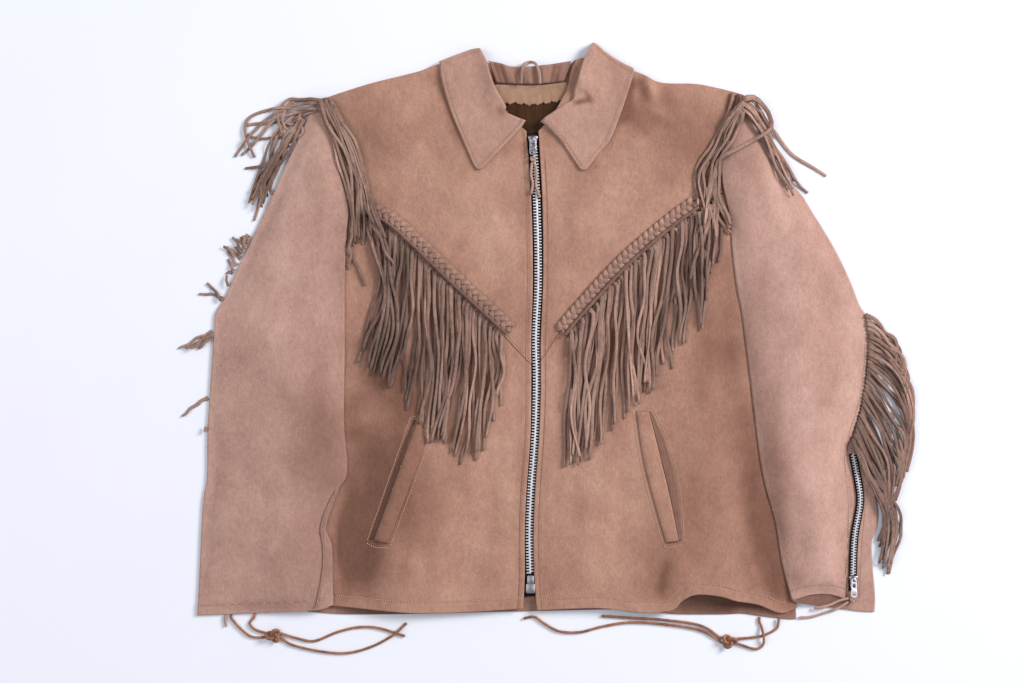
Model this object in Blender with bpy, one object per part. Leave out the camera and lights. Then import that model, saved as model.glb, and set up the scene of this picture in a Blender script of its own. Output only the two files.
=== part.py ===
"""A fringed buckskin jacket that lies flat, front up: zip front, pointed collar, two-piece sleeves
and long fringe along the yoke, shoulders and sleeves. Sizes are in millimetres, and each mesh is
made in metres. X runs to the wearer's left, Y from the hem to the collar, Z up from the surface
that the jacket lies on. _r and _l are the wearer's right and left."""

import math

import bpy
import bmesh
import numpy as np
from mathutils import Vector
from mathutils.bvhtree import BVHTree

MM = 0.001

# Walls and clearances
HIDE = 2.0            # body suede
SLEEVE_HIDE = 1.8
COLLAR_HIDE = 2.6     # two layers, turned
WELT_HIDE = 1.6
LINING = 1.0
FACING = 1.2
POCKETING = 1.0
TAPE = 1.0
GAP = 0.3             # between pieces that touch
LAY = 0.6             # between a piece and what it is laid on
SEAM = 0.5            # between two panels at a seam

# How the flat garment keeps a little air between its panels
BODY_RISE = 3.2
SLEEVE_RISE = 3.4
NECK_RISE = 3.0
HEM_ARCH = 7.0        # the left front's hem stands up in an arch here
HEM_ARCH_PLACE = (236, 12)
TAPE_UNDER = 0.4      # the zip tape's top lies this far under the fronts
STAND_FOOT = 4.6      # the collar stand's underside at its seam
STAND_CLIMB = 6.0     # and how much higher its top is
GATHERS = 7
GATHER_HEIGHT = 0.8
LEAF_HEIGHT = 6.0     # past the shoulder seam a leaf stays as high as it lies on the shoulder
LEAF_ROLL = 2.5       # how much higher a leaf is at its fold

# Fringe, braid, thong and zip
STRAND_THICK = 1.4
STRIP_WIDTH = 4.0
STRIP_GAP = 1.3       # from a strip beside a sleeve to the sleeve's edge
YOKE_STRANDS = 30
YOKE_STRAND_WIDTH = 3.5
BRAID_WIDTH = 12.0
BRAID_REPEAT = 9.0
BRAID_THICK = 1.5
PLAIT_CROWN = 0.9
PLAIT_WAVE = 0.35
LACE_RADIUS = 1.6
LOOP_RADIUS = 1.3
CHAIN_WIDTH = 8.0
CUFF_CHAIN_WIDTH = 6.0
CHAIN_THICK = 2.4
TAPE_WIDTH = 26.0
CUFF_TAPE_WIDTH = 15.0
ZIP_BOX_THICK = 3.4

# Zip sliders, before each one's scale
SLIDER_LENGTH = 15.0
SLIDER_WIDTH = 11.0
SLIDER_WAIST = 0.36   # half its width at the waist, as a share of the whole width
SLIDER_TAIL = 0.40
SLIDER_THICK = 2.6
EAR_BACK = 4.0        # from the slider's top end to the tab's axis
EAR_INNER = 2.9
EAR_OUTER = 4.3
EAR_HALF = 2.0
EAR_FOOT = 1.3
EAR_HEIGHT = 3.4
AXIS_HEIGHT = 2.0
TAB_ROOT_HALF = 2.6
TAB_ROOT_RADIUS = 1.4
TAB_THICK = 1.4

SUEDE = (0.50, 0.31, 0.25)
SUEDE_DARK = (0.30, 0.19, 0.16)
THONG = (0.40, 0.22, 0.12)
METAL = (0.62, 0.62, 0.65)
BLACK = (0.02, 0.02, 0.022)

# Outlines of the panels, as (x, y) along each edge
SHOULDER_R = [(-253, 639), (-219, 650), (-191, 658), (-139, 671), (-114, 680), (-61, 687)]
NECK_R = [(-61, 687), (-42, 641), (-24, 613), (-7, 596)]
ZIP_EDGE_R = [(-1, 306), (-1, 340), (1, 417), (-1, 511), (-7, 596)]
YOKE_SEAM_R = [(-269, 517), (-231, 511), (-197, 501), (-162, 481), (-94, 415), (-24, 350), (-1, 306)]
ARMHOLE_R = [(-269, 517), (-267, 573), (-253, 639)]
ZIP_EDGE_LOW_R = [(-11, 4), (-9, 45), (-9, 97), (-7, 149), (-2, 218), (-1, 275), (-1, 306)]
HEM_R = [(-278, 7), (-244, 7), (-187, 2), (-138, -1), (-76, 0), (-11, 4)]
SIDE_R = [(-278, 7), (-279, 201), (-274, 387), (-269, 517)]

SHOULDER_L = [(61, 687), (129, 671), (160, 657), (203, 655), (229, 650), (264, 639)]
NECK_L = [(11, 596), (26, 616), (43, 645), (61, 687)]
ZIP_EDGE_L = [(14, 311), (14, 340), (17, 417), (16, 511), (11, 596)]
YOKE_SEAM_L = [(14, 311), (35, 346), (110, 435), (157, 479), (205, 513), (247, 520), (285, 523)]
ARMHOLE_L = [(285, 523), (280, 573), (264, 639)]
ZIP_EDGE_LOW_L = [(9, 2), (6, 45), (5, 97), (7, 149), (12, 218), (14, 275), (14, 311)]
HEM_L = [(9, 2), (83, 5), (135, -1), (174, 2), (187, 14), (205, 22), (234, 20), (254, 14), (281, 9),
         (310, -2), (330, 4)]
SIDE_L = [(330, 4), (319, 201), (303, 362), (285, 523)]

NECK_BACK = [(-61, 687), (-38, 665), (-1, 660), (36, 665), (61, 687)]
HEM_BACK = [(-278, -1), (-227, -7), (-138, -5), (-38, -1), (52, 0), (135, -5), (210, -9), (284, -7),
            (330, -10)]

SLEEVE_OUT_R = [(-415, -5), (-413, 30), (-408, 131), (-403, 166), (-402, 226), (-399, 274), (-394, 350),
                (-392, 371), (-381, 389), (-363, 429), (-324, 511), (-299, 560), (-280, 598), (-264, 627)]
SLEEVE_IN_R = [(-245, 9), (-246, 38), (-247, 82), (-254, 102), (-249, 124), (-238, 153), (-228, 175),
               (-232, 238), (-231, 321), (-231, 412), (-228, 472), (-226, 498), (-233, 525), (-243, 568),
               (-258, 627)]
CUFF_R = [(-415, -5), (-341, -2), (-267, 2), (-245, 9)]

SLEEVE_OUT_L = [(391, 15), (392, 45), (394, 92), (401, 134), (398, 166), (392, 196), (404, 232), (414, 269),
                (418, 305), (422, 343), (418, 365), (408, 381), (396, 412), (377, 451), (351, 494),
                (334, 520), (315, 538), (298, 569), (278, 603), (267, 627)]
UNDER_OUT_L = [(427, -1), (428, 19), (425, 55), (424, 87), (430, 102), (432, 124), (427, 149), (415, 176),
               (404, 226), (414, 269), (418, 305), (422, 343), (418, 365), (408, 381), (396, 412),
               (377, 451), (351, 494), (334, 520), (315, 538), (298, 569), (278, 603), (267, 627)]
SLEEVE_IN_L = [(326, 15), (322, 20), (311, 63), (303, 112), (286, 177), (274, 270), (262, 365), (255, 401),
               (250, 441), (246, 490), (237, 533), (237, 559), (243, 585), (260, 627)]
CUFF_L = [(326, 15), (347, 21), (371, 21), (391, 15)]
CUFF_UNDER_L = [(326, 12), (371, 5), (407, 0), (427, -1)]

LEAF_LOW_R = [(-69, 549), (-33, 573), (-16, 591), (-6, 610)]
LEAF_FOLD_R = [(-6, 610), (-32, 620), (-31, 627), (-46, 655), (-55, 683), (-63, 698)]
LEAF_TOP_R = [(-114, 683), (-91, 692), (-67, 700), (-63, 698)]
LEAF_OUT_R = [(-69, 549), (-75, 554), (-92, 591), (-107, 643), (-114, 683)]
LEAF_LOW_L = [(11, 610), (24, 591), (52, 554), (67, 546)]
LEAF_OUT_L = [(67, 546), (73, 551), (91, 573), (115, 620), (129, 671)]
LEAF_TOP_L = [(73, 700), (81, 707), (105, 689), (129, 671)]
LEAF_FOLD_L = [(11, 610), (22, 620), (50, 635), (53, 643), (56, 662), (73, 700)]
STAND_TOP = [(-53, 683), (-38, 680), (-24, 676), (-1, 676), (33, 680), (50, 683)]
STAND_LOW = [(-43, 656), (-20, 655), (11, 655), (41, 658)]
FACING_TOP = [(-45, 655), (-20, 654), (11, 654), (45, 658)]
FACING_LOW = [(-50, 632), (-33, 630), (-20, 631), (-1, 629), (17, 631), (38, 634), (52, 636)]

BRAID_R = [(-195, 500), (-162, 480), (-94, 415), (-25, 351)]
BRAID_L = [(36, 347), (110, 435), (157, 478), (202, 512)]

# Pocket welts and the open mouths beside them: each has a low, a top, a left and a right edge
WELT_R = {"low": [(-195, 89), (-177, 85)], "top": [(-141, 237), (-125, 223)],
          "left": [(-195, 89), (-141, 237)], "right": [(-177, 85), (-125, 223)]}
WELT_L = {"low": [(169, 84), (182, 88)], "top": [(129, 249), (147, 247)],
          "left": [(169, 84), (148, 140), (135, 200), (129, 249)],
          "right": [(182, 88), (173, 130), (159, 185), (147, 247)]}
MOUTH_R = {"low": [(-200, 90), (-196.5, 90)], "top": [(-146, 238), (-142.5, 238)],
           "left": [(-200, 90), (-146, 238)], "right": [(-196.5, 90), (-142.5, 238)]}
MOUTH_L = {"low": [(183.5, 87), (186, 88)], "top": [(149.5, 243), (152, 243)],
           "left": [(183.5, 87), (174.5, 130), (161, 185), (149.5, 243)],
           "right": [(186, 88), (180, 133), (171, 182), (152, 243)]}

ZIP_BOX = [(-5.5, 23), (4.5, 23), (4.5, 46), (-5.5, 46)]
ZIP_LINE = [(-1, 47.5), (-2, 97), (0, 149), (5, 218), (7, 288), (6, 340), (9, 417), (7, 511), (2, 594)]
CUFF_TAPE_END = (400, 25)
CUFF_ZIP_LINE = [(400, 45), (402, 92), (409, 134), (407, 159), (400, 196)]

# Folds: a soft ridge (or, with a height under 0, a trough) along each line
FOLD_COLUMNS = ("x0", "y0", "x1", "y1", "half_width", "height")
BODY_FOLDS = [
    (-150, 40, -105, 200, 42, 2.5),
    (70, 50, 110, 210, 45, 2.2),
    (238, 20, 242, 230, 30, 3.0),
    (-195, 625, -130, 560, 30, 2.0),
    (85, 548, 160, 528, 24, 1.6),
    (-60, 460, -25, 420, 30, 1.4),
]
SLEEVE_FOLDS_R = [
    (-352, 420, -338, 160, 42, 3.6),
    (-300, 300, -268, 110, 26, 2.8),
    (-395, 120, -330, 70, 24, 2.4),
    (-300, 470, -262, 520, 26, 2.2),
]
SLEEVE_FOLDS_L = [
    (338, 440, 372, 250, 32, 4.4),
    (300, 330, 336, 130, 26, 3.4),
    (385, 240, 358, 60, 24, 2.6),
    (288, 500, 300, 560, 22, 2.4),
]


# --- curves and grids -------------------------------------------------------------------------

def smooth_line(route, count):
    """count points at even distances along the smooth (Catmull-Rom) curve through the route."""
    knots = np.array(route, float)
    ends = np.vstack([2 * knots[0] - knots[1], knots, 2 * knots[-1] - knots[-2]])
    t = np.linspace(0, 1, 12, endpoint=False)[:, None]
    pieces = []
    for a, b, c, d in zip(ends, ends[1:], ends[2:], ends[3:]):
        pieces.append(0.5 * (2 * b + (c - a) * t + (2 * a - 5 * b + 4 * c - d) * t**2
                             + (3 * b - a - 3 * c + d) * t**3))
    fine = np.vstack(pieces + [knots[-1:]])
    along = np.concatenate([[0], np.cumsum(np.linalg.norm(np.diff(fine, axis=0), axis=1))])
    wanted = np.linspace(0, along[-1], count)
    return np.column_stack([np.interp(wanted, along, fine[:, k]) for k in range(fine.shape[1])])


def line_length(route):
    return float(np.linalg.norm(np.diff(smooth_line(route, 200), axis=0), axis=1).sum())


def patch(low, right, top, left, across, up):
    """A grid (up, across, 2) that fills four edges: opposite edges are blended, less the corners.
    The side edges end where the low and top edges do."""
    left = [low[0]] + list(left[1:-1]) + [top[0]]
    right = [low[-1]] + list(right[1:-1]) + [top[-1]]
    low, top = smooth_line(low, across), smooth_line(top, across)
    left, right = smooth_line(left, up), smooth_line(right, up)
    u = np.linspace(0, 1, across)[None, :, None]
    v = np.linspace(0, 1, up)[:, None, None]
    corners = ((1 - u) * (1 - v) * low[0] + u * (1 - v) * low[-1]
               + (1 - u) * v * top[0] + u * v * top[-1])
    return (1 - v) * low[None] + v * top[None] + (1 - u) * left[:, None] + u * right[:, None] - corners


def ribbon(route, width, count, rows=2):
    """A grid (rows, count, 2) of the given width along a route."""
    centre = smooth_line(route, count)
    ahead = np.gradient(centre, axis=0)
    ahead /= np.linalg.norm(ahead, axis=1)[:, None]
    side = np.column_stack([-ahead[:, 1], ahead[:, 0]])
    offsets = np.linspace(-width / 2, width / 2, rows)[:, None, None]
    return centre[None] + offsets * side[None]


def soft_step(value):
    value = np.clip(value, 0, 1)
    return value * value * (3 - 2 * value)


def folds(x, y, table):
    """The height that a table of folds adds at each place."""
    total = np.zeros(np.shape(x))
    for row in table:
        fold = dict(zip(FOLD_COLUMNS, row))
        start = np.array([fold["x0"], fold["y0"]], float)
        run = np.array([fold["x1"], fold["y1"]], float) - start
        share = np.clip(((x - start[0]) * run[0] + (y - start[1]) * run[1]) / (run @ run), 0, 1)
        away = np.hypot(x - start[0] - share * run[0], y - start[1] - share * run[1])
        total = total + fold["height"] * np.exp(-((away / fold["half_width"]) ** 2))
    return total


def body_rise(x, y):
    """How far the fronts' underside stands above the back: most in the middle, none at the seams."""
    right = np.interp(y, [7, 639], [-278, -253])
    left = np.interp(y, [7, 523, 639], [330, 285, 264])
    shoulder = np.interp(x, [-253, -61, 61, 264], [639, 687, 687, 639])
    middle = soft_step(np.minimum(x - right, left - x) / 60) * soft_step((shoulder - y) / 50)
    neck = np.exp(-(x**2 + (y - 640) ** 2) / (2 * 70.0**2))
    arch = np.exp(-(((x - HEM_ARCH_PLACE[0]) / 40) ** 2) - ((y - HEM_ARCH_PLACE[1]) / 45) ** 2)
    return middle * (BODY_RISE + folds(x, y, BODY_FOLDS)) + NECK_RISE * neck + HEM_ARCH * arch


# --- laying one piece on another -----------------------------------------------------------------

def tree_of(obj):
    """The object's surface, in millimetres, for rays."""
    bpy.context.view_layer.update()
    evaluated = obj.evaluated_get(bpy.context.evaluated_depsgraph_get())
    mesh = evaluated.to_mesh()
    points = [obj.matrix_world @ v.co / MM for v in mesh.vertices]
    tree = BVHTree.FromPolygons(points, [list(p.vertices) for p in mesh.polygons])
    evaluated.to_mesh_clear()
    return tree


def top_under(trees, x, y):
    """The highest surface at a place, or the floor."""
    highest = 0.0
    for tree in trees:
        hit = tree.ray_cast(Vector((x, y, 500.0)), Vector((0, 0, -1)))[0]
        if hit is not None:
            highest = max(highest, hit.z)
    return highest


def lay(grid, trees, clear, row_cuts=4, column_cuts=4):
    """The height at which each point of a grid clears all that lies under the cells round it."""
    rows, columns = grid.shape[:2]
    at = np.linspace(0, rows - 1, (rows - 1) * row_cuts + 1)
    along = np.linspace(0, columns - 1, (columns - 1) * column_cuts + 1)
    j = np.minimum(at.astype(int), rows - 2)
    i = np.minimum(along.astype(int), columns - 2)
    v, u = (at - j)[:, None, None], (along - i)[None, :, None]
    fine = ((1 - v) * (1 - u) * grid[j][:, i] + (1 - v) * u * grid[j][:, i + 1]
            + v * (1 - u) * grid[j + 1][:, i] + v * u * grid[j + 1][:, i + 1])
    under = np.array([[top_under(trees, x, y) for x, y in row] for row in fine])
    heights = np.zeros((rows, columns))
    for row in range(rows):
        for column in range(columns):
            window = under[max(0, (row - 1) * row_cuts):(row + 1) * row_cuts + 1,
                           max(0, (column - 1) * column_cuts):(column + 1) * column_cuts + 1]
            highest = window.max()
            heights[row, column] = highest + clear if highest > 0 else 0.0
    return heights


# --- making solids ------------------------------------------------------------------------------

def material(name, colour, roughness, metallic=0.0):
    made = bpy.data.materials.new(name)
    made.use_nodes = True
    shader = made.node_tree.nodes["Principled BSDF"]
    shader.inputs["Base Color"].default_value = (*colour, 1)
    shader.inputs["Roughness"].default_value = roughness
    shader.inputs["Metallic"].default_value = metallic
    return made


def add_mesh(name, points, faces, look, origin=(0, 0, 0)):
    """A closed mesh, with its faces turned outwards and its origin where it is asked for."""
    colour, roughness, metallic = look
    mesh = bpy.data.meshes.new(name)
    local = (np.asarray(points, float) - np.array(origin, float)) * MM
    mesh.from_pydata([tuple(p) for p in local], [], [tuple(int(k) for k in f) for f in faces])
    work = bmesh.new()
    work.from_mesh(mesh)
    bmesh.ops.recalc_face_normals(work, faces=work.faces)
    if work.calc_volume(signed=True) < 0:
        bmesh.ops.reverse_faces(work, faces=work.faces)
    work.to_mesh(mesh)
    work.free()
    mesh.materials.append(material(name, colour, roughness, metallic))
    obj = bpy.data.objects.new(name, mesh)
    obj.location = Vector(origin) * MM
    bpy.context.scene.collection.objects.link(obj)
    return obj


CLOTH_LOOK = (SUEDE, 0.9, 0.0)
FRINGE_LOOK = (SUEDE_DARK, 0.9, 0.0)
THONG_LOOK = (THONG, 0.6, 0.0)
METAL_LOOK = (METAL, 0.35, 1.0)
TAPE_LOOK = (BLACK, 0.8, 0.0)
LINING_LOOK = ((0.16, 0.07, 0.02), 0.35, 0.0)
FACING_LOOK = ((0.36, 0.24, 0.14), 0.85, 0.0)


def wall(name, grid, low, thick, look):
    """A wall over a grid: its underside at low, its face thick above that, closed round the edge."""
    rows, columns = grid.shape[:2]
    under = np.dstack([grid, low]).reshape(-1, 3)
    over = np.dstack([grid, low + thick]).reshape(-1, 3)
    index = np.arange(rows * columns).reshape(rows, columns)
    top = index + rows * columns
    faces = []
    for j in range(rows - 1):
        for i in range(columns - 1):
            faces.append((index[j, i], index[j + 1, i], index[j + 1, i + 1], index[j, i + 1]))
            faces.append((top[j, i], top[j, i + 1], top[j + 1, i + 1], top[j + 1, i]))
    rim = [(0, i) for i in range(columns)] + [(j, columns - 1) for j in range(1, rows)]
    rim += [(rows - 1, i) for i in range(columns - 2, -1, -1)] + [(j, 0) for j in range(rows - 2, 0, -1)]
    for a, b in zip(rim, rim[1:] + rim[:1]):
        faces.append((index[a], index[b], top[b], top[a]))
    return add_mesh(name, np.vstack([under, over]), faces, look)


def fringe(name, seam, paths, trees, width, steps, side):
    """Strands fused into a narrow strip. seam is the strip's free lower edge, paths gives each
    strand's route from its root on that edge, and side says where the strip lies."""
    count = len(paths)
    root = np.array([p[0] for p in paths], float)
    edge = smooth_line(seam, 400)
    near = [int(np.argmin(np.linalg.norm(edge - r, axis=1))) for r in root]
    ahead = np.gradient(edge, axis=0)
    ahead /= np.linalg.norm(ahead, axis=1)[:, None]
    out = np.column_stack([-ahead[:, 1], ahead[:, 0]]) * side
    stations = []
    backs = []
    for k in near:
        for sign in (-0.5, 0.5):
            stations.append(edge[k] + sign * width * ahead[k])
            backs.append(edge[k] + sign * width * ahead[k] + STRIP_WIDTH * out[k])
    strip = np.array([stations, backs])
    strip_low = lay(strip, trees, LAY, 2, 2).max(axis=0)
    strands = []
    for k, path in enumerate(paths):
        centre = smooth_line(path, steps + 1)
        run = np.gradient(centre, axis=0)
        run /= np.linalg.norm(run, axis=1)[:, None]
        across = np.column_stack([run[:, 1], -run[:, 0]])
        along_seam = strip[0, 2 * k + 1] - strip[0, 2 * k]
        if across[0] @ along_seam < 0:
            across = -across
        half = width / 2 * np.interp(np.linspace(0, 1, steps + 1), [0, 0.15, 1], [1, 0.92, 0.75])
        grid = np.array([centre - half[:, None] * across, centre + half[:, None] * across])
        grid[:, 0] = strip[0, 2 * k:2 * k + 2]
        low = lay(grid, trees, LAY, 2, 12).max(axis=0)
        strip_low[2 * k:2 * k + 2] = max(low[0], strip_low[2 * k], strip_low[2 * k + 1])
        strands.append((grid, low))
    strip_low = np.maximum(strip_low, GAP)
    points = []
    for s in range(2 * count):
        for place, height in ((strip[0, s], 0), (strip[0, s], STRAND_THICK),
                              (strip[1, s], STRAND_THICK), (strip[1, s], 0)):
            points.append((*place, strip_low[s] + height))
    faces = [(0, 1, 2, 3), tuple(4 * (2 * count - 1) + k for k in range(4))]
    for s in range(2 * count - 1):
        a, b = 4 * s, 4 * s + 4
        faces += [(a + 1, b + 1, b + 2, a + 2), (a + 2, b + 2, b + 3, a + 3), (a + 3, b + 3, b, a)]
        if s % 2 == 1:
            faces.append((a, b, b + 1, a + 1))
    for k, (grid, low) in enumerate(strands):
        ring = [8 * k, 8 * k + 4, 8 * k + 5, 8 * k + 1]
        for step in range(1, steps + 1):
            height = max(low[step], GAP)
            first = len(points)
            left, right = grid[0, step], grid[1, step]
            points += [(*left, height), (*right, height),
                       (*right, height + STRAND_THICK), (*left, height + STRAND_THICK)]
            fresh = [first, first + 1, first + 2, first + 3]
            for n in range(4):
                m = (n + 1) % 4
                faces.append((ring[n], ring[m], fresh[m], fresh[n]))
            ring = fresh
        faces.append(tuple(ring))
    return add_mesh(name, points, faces, FRINGE_LOOK)


def thong(name, route, radius, trees):
    """A round thong laid along a route, over whatever is under it."""
    count = max(5, int(line_length(route) / (6 * radius)) + 1)
    grid = ribbon(route, 2 * radius, count, rows=3)
    low = np.maximum(lay(grid, trees, LAY, 2, 4).max(axis=0), GAP)
    centre = smooth_line(route, count)
    data = bpy.data.curves.new(name, "CURVE")
    data.dimensions = "3D"
    data.bevel_depth = radius * MM
    data.bevel_resolution = 2
    data.use_fill_caps = True
    spline = data.splines.new("POLY")
    spline.points.add(count - 1)
    for point, (x, y), z in zip(spline.points, centre, low):
        point.co = (x * MM, y * MM, (z + radius) * MM, 1)
    data.materials.append(material(name, *THONG_LOOK))
    obj = bpy.data.objects.new(name, data)
    bpy.context.scene.collection.objects.link(obj)
    return obj


def knot(name, place, size, trees):
    """A rounded lump for a knot: rings of eight points between two poles."""
    x, y = place
    low = max(top_under(trees, x + dx, y + dy) for dx in (-size[0] / 2, 0, size[0] / 2)
              for dy in (-size[1] / 2, 0, size[1] / 2)) + GAP
    points = [(x, y, low)]
    for ring in range(1, 5):
        tilt = math.pi * ring / 5
        for k in range(8):
            turn = 2 * math.pi * k / 8
            points.append((x + size[0] / 2 * math.sin(tilt) * math.cos(turn),
                           y + size[1] / 2 * math.sin(tilt) * math.sin(turn),
                           low + size[2] / 2 * (1 - math.cos(tilt))))
    points.append((x, y, low + size[2]))
    faces = [(0, 1 + (k + 1) % 8, 1 + k) for k in range(8)]
    for ring in range(3):
        a = 1 + 8 * ring
        faces += [(a + k, a + (k + 1) % 8, a + 8 + (k + 1) % 8, a + 8 + k) for k in range(8)]
    faces += [(25 + k, 25 + (k + 1) % 8, 33) for k in range(8)]
    return add_mesh(name, points, faces, THONG_LOOK)


def prism(outline, low, high):
    """Points and faces of an upright prism."""
    count = len(outline)
    points = [(x, y, low) for x, y in outline] + [(x, y, high) for x, y in outline]
    faces = [tuple(range(count)), tuple(range(count, 2 * count))]
    for k in range(count):
        m = (k + 1) % count
        faces.append((k, m, count + m, count + k))
    return points, faces


# --- the body ----------------------------------------------------------------------------------

def make_back():
    top = SHOULDER_R + NECK_BACK[1:] + SHOULDER_L[1:]
    grid = patch(HEM_BACK, SIDE_L + ARMHOLE_L[1:], top, SIDE_R + ARMHOLE_R[1:], 25, 5)
    return wall("back", grid, np.zeros(grid.shape[:2]), HIDE, CLOTH_LOOK)


def make_neck():
    """What shows inside the neck: a strip of lining, the facing over it and the gathered stand."""
    lining = patch([(-40, 582), (42, 582)], [(42, 582), (48, 642)], [(-45, 642), (48, 642)],
                   [(-40, 582), (-45, 642)], 5, 4)
    pieces = [wall("neck_lining", lining, np.full((4, 5), HIDE + GAP), LINING, LINING_LOOK)]
    facing = patch(FACING_LOW, [FACING_LOW[-1], FACING_TOP[-1]], FACING_TOP,
                   [FACING_LOW[0], FACING_TOP[0]], 13, 3)
    low = np.full((3, 13), HIDE + GAP + LINING + GAP)
    pieces.append(wall("neck_facing", facing, low, FACING, FACING_LOOK))
    stand = patch(STAND_LOW, [STAND_LOW[-1], STAND_TOP[-1]], STAND_TOP, [STAND_LOW[0], STAND_TOP[0]], 29, 3)
    v = np.linspace(0, 1, 3)[:, None]
    u = np.linspace(0, 1, 29)[None, :]
    gathers = GATHER_HEIGHT * (1 - 0.6 * v) * np.sin(2 * math.pi * GATHERS * u)
    level = STAND_FOOT + STAND_CLIMB * v + gathers
    pieces.append(wall("collar_stand", stand, level, HIDE, CLOTH_LOOK))
    return pieces


def make_zip_tape():
    grid = ribbon([(1, 6)] + ZIP_LINE, TAPE_WIDTH, 21, rows=2)
    low = HIDE + body_rise(grid[..., 0], grid[..., 1]) - TAPE - TAPE_UNDER
    return wall("zip_tape", grid, low, TAPE, TAPE_LOOK)


def shifted(points, dy):
    return [(x, y + dy) for x, y in points]


def make_fronts(under):
    """Each front is a yoke and a lower panel, with the pointed yoke seam between them."""
    made = []
    panels = (
        ("front_yoke_r", shifted(YOKE_SEAM_R, SEAM), ZIP_EDGE_R, SHOULDER_R + NECK_R[1:], ARMHOLE_R),
        ("front_lower_r", HEM_R, ZIP_EDGE_LOW_R, YOKE_SEAM_R, SIDE_R),
        ("front_yoke_l", shifted(YOKE_SEAM_L, SEAM), ARMHOLE_L, NECK_L + SHOULDER_L[1:], ZIP_EDGE_L),
        ("front_lower_l", HEM_L, SIDE_L, YOKE_SEAM_L, ZIP_EDGE_LOW_L),
    )
    for name, low_edge, right, top, left in panels:
        grid = patch(low_edge, right, top, left, 13, 10)
        level = HIDE + GAP + body_rise(grid[..., 0], grid[..., 1])
        level = np.maximum(level, lay(grid, under, GAP))
        made.append(wall(name, grid, level, HIDE, CLOTH_LOOK))
    return made


def make_collar(under):
    made = []
    for name, low, right, top, left, fold_at in (
        ("collar_leaf_r", LEAF_LOW_R, LEAF_FOLD_R, LEAF_TOP_R, LEAF_OUT_R, 1.0),
        ("collar_leaf_l", LEAF_LOW_L, LEAF_OUT_L, LEAF_TOP_L, LEAF_FOLD_L, 0.0),
    ):
        grid = patch(low, right, top, left, 8, 11)
        u = np.linspace(0, 1, 8)[None, :]
        roll = LEAF_ROLL * soft_step(1 - np.abs(u - fold_at) / 0.6)
        level = np.maximum(lay(grid, under, LAY), LEAF_HEIGHT) + roll
        made.append(wall(name, grid, level, COLLAR_HIDE, CLOTH_LOOK))
    return made


# --- sewn on the fronts ------------------------------------------------------------------------

def make_pockets(under):
    made = []
    for name, edges, thick, look in (
        ("pocket_welt_r", WELT_R, WELT_HIDE, CLOTH_LOOK),
        ("pocket_welt_l", WELT_L, WELT_HIDE, CLOTH_LOOK),
        ("pocket_mouth_r", MOUTH_R, POCKETING, FRINGE_LOOK),
        ("pocket_mouth_l", MOUTH_L, POCKETING, FRINGE_LOOK),
    ):
        grid = patch(edges["low"], edges["right"], edges["top"], edges["left"], 2, 10)
        made.append(wall(name, grid, lay(grid, under, GAP), thick, look))
    return made


def make_braids(under):
    """A plaited thong on each yoke seam: plaits stand up along the band, one for each repeat."""
    made = []
    for name, route in (("braid_r", BRAID_R), ("braid_l", BRAID_L)):
        repeats = round(line_length(route) / BRAID_REPEAT)
        grid = ribbon(route, BRAID_WIDTH, 2 * repeats + 1, rows=4)
        level = lay(grid, under, GAP, 2, 2)
        rows, columns = level.shape
        across = np.abs(np.linspace(-1, 1, rows))[:, None]
        wave = np.cos(2 * math.pi * (np.arange(columns)[None, :] / 2))
        thick = BRAID_THICK + PLAIT_CROWN * (1 - across**2) + PLAIT_WAVE * wave * (1 - across**4)
        made.append(wall(name, grid, level, thick, CLOTH_LOOK))
    return made


def yoke_paths(route, ends, count, inset):
    """Strands from a braid's lower edge: each hangs nearly straight down to the line of ends."""
    roots = smooth_line(route, 2 * count + 1)[1::2]
    ends = np.array(sorted(ends), float)
    rng = np.random.default_rng(7)
    paths = []
    for k, (x, y) in enumerate(roots):
        end_y = np.interp(x, ends[:, 0], ends[:, 1]) + 7 * math.sin(2.4 * k) + rng.uniform(-4, 4)
        lean = 1.6 * math.sin(0.55 * k)
        start = np.array([x, y]) + inset
        paths.append([tuple(start), (start[0] + lean, 0.55 * start[1] + 0.45 * end_y),
                      (start[0] + 1.5 * lean, end_y)])
    return paths


# Where the yoke's strands end, from side to side
YOKE_ENDS_R = [(-205, 315), (-175, 290), (-141, 248), (-108, 223), (-86, 187), (-69, 196), (-50, 239),
               (-30, 263)]
YOKE_ENDS_L = [(38, 177), (62, 193), (82, 208), (109, 237), (135, 272), (156, 299), (185, 327), (201, 336)]


def make_yoke_fringes(under):
    made = []
    for name, route, ends, inset in (
        ("fringe_yoke_r", BRAID_R, YOKE_ENDS_R, (-8.5, -9.5)),
        ("fringe_yoke_l", BRAID_L, YOKE_ENDS_L, (8.5, -9.5)),
    ):
        seam = [(x + inset[0], y + inset[1]) for x, y in route]
        paths = yoke_paths(route, ends, YOKE_STRANDS, np.array(inset))
        made.append(fringe(name, seam, paths, under, YOKE_STRAND_WIDTH, steps=4, side=1))
    return made


# --- sleeves -----------------------------------------------------------------------------------

def sleeve_grid(cuff, left, right, across, up):
    """A sleeve panel from its cuff to the shoulder point, between its left and right edges."""
    return patch(cuff, right, [left[-1], right[-1]], left, across, up)


def make_sleeve_under(name, cuff, left, right, under):
    grid = sleeve_grid(cuff, left, right, 6, 18)
    return wall(name, grid, lay(grid, under, LAY), SLEEVE_HIDE, CLOTH_LOOK)


def make_sleeve_upper(name, cuff, left, right, under, table):
    """The upper panel: as the under panel, with air inside the tube and the folds of the cloth."""
    grid = sleeve_grid(cuff, left, right, 9, 22)
    u = np.linspace(-1, 1, 9)[None, :]
    v = np.linspace(0, 1, 22)[:, None]
    bulge = (1 - np.abs(u) ** 3) * soft_step((1 - v) / 0.12)
    level = lay(grid, under, GAP)
    level = level + bulge * (SLEEVE_RISE + np.maximum(folds(grid[..., 0], grid[..., 1], table), -2.5))
    return wall(name, grid, level, SLEEVE_HIDE, CLOTH_LOOK)


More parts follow.
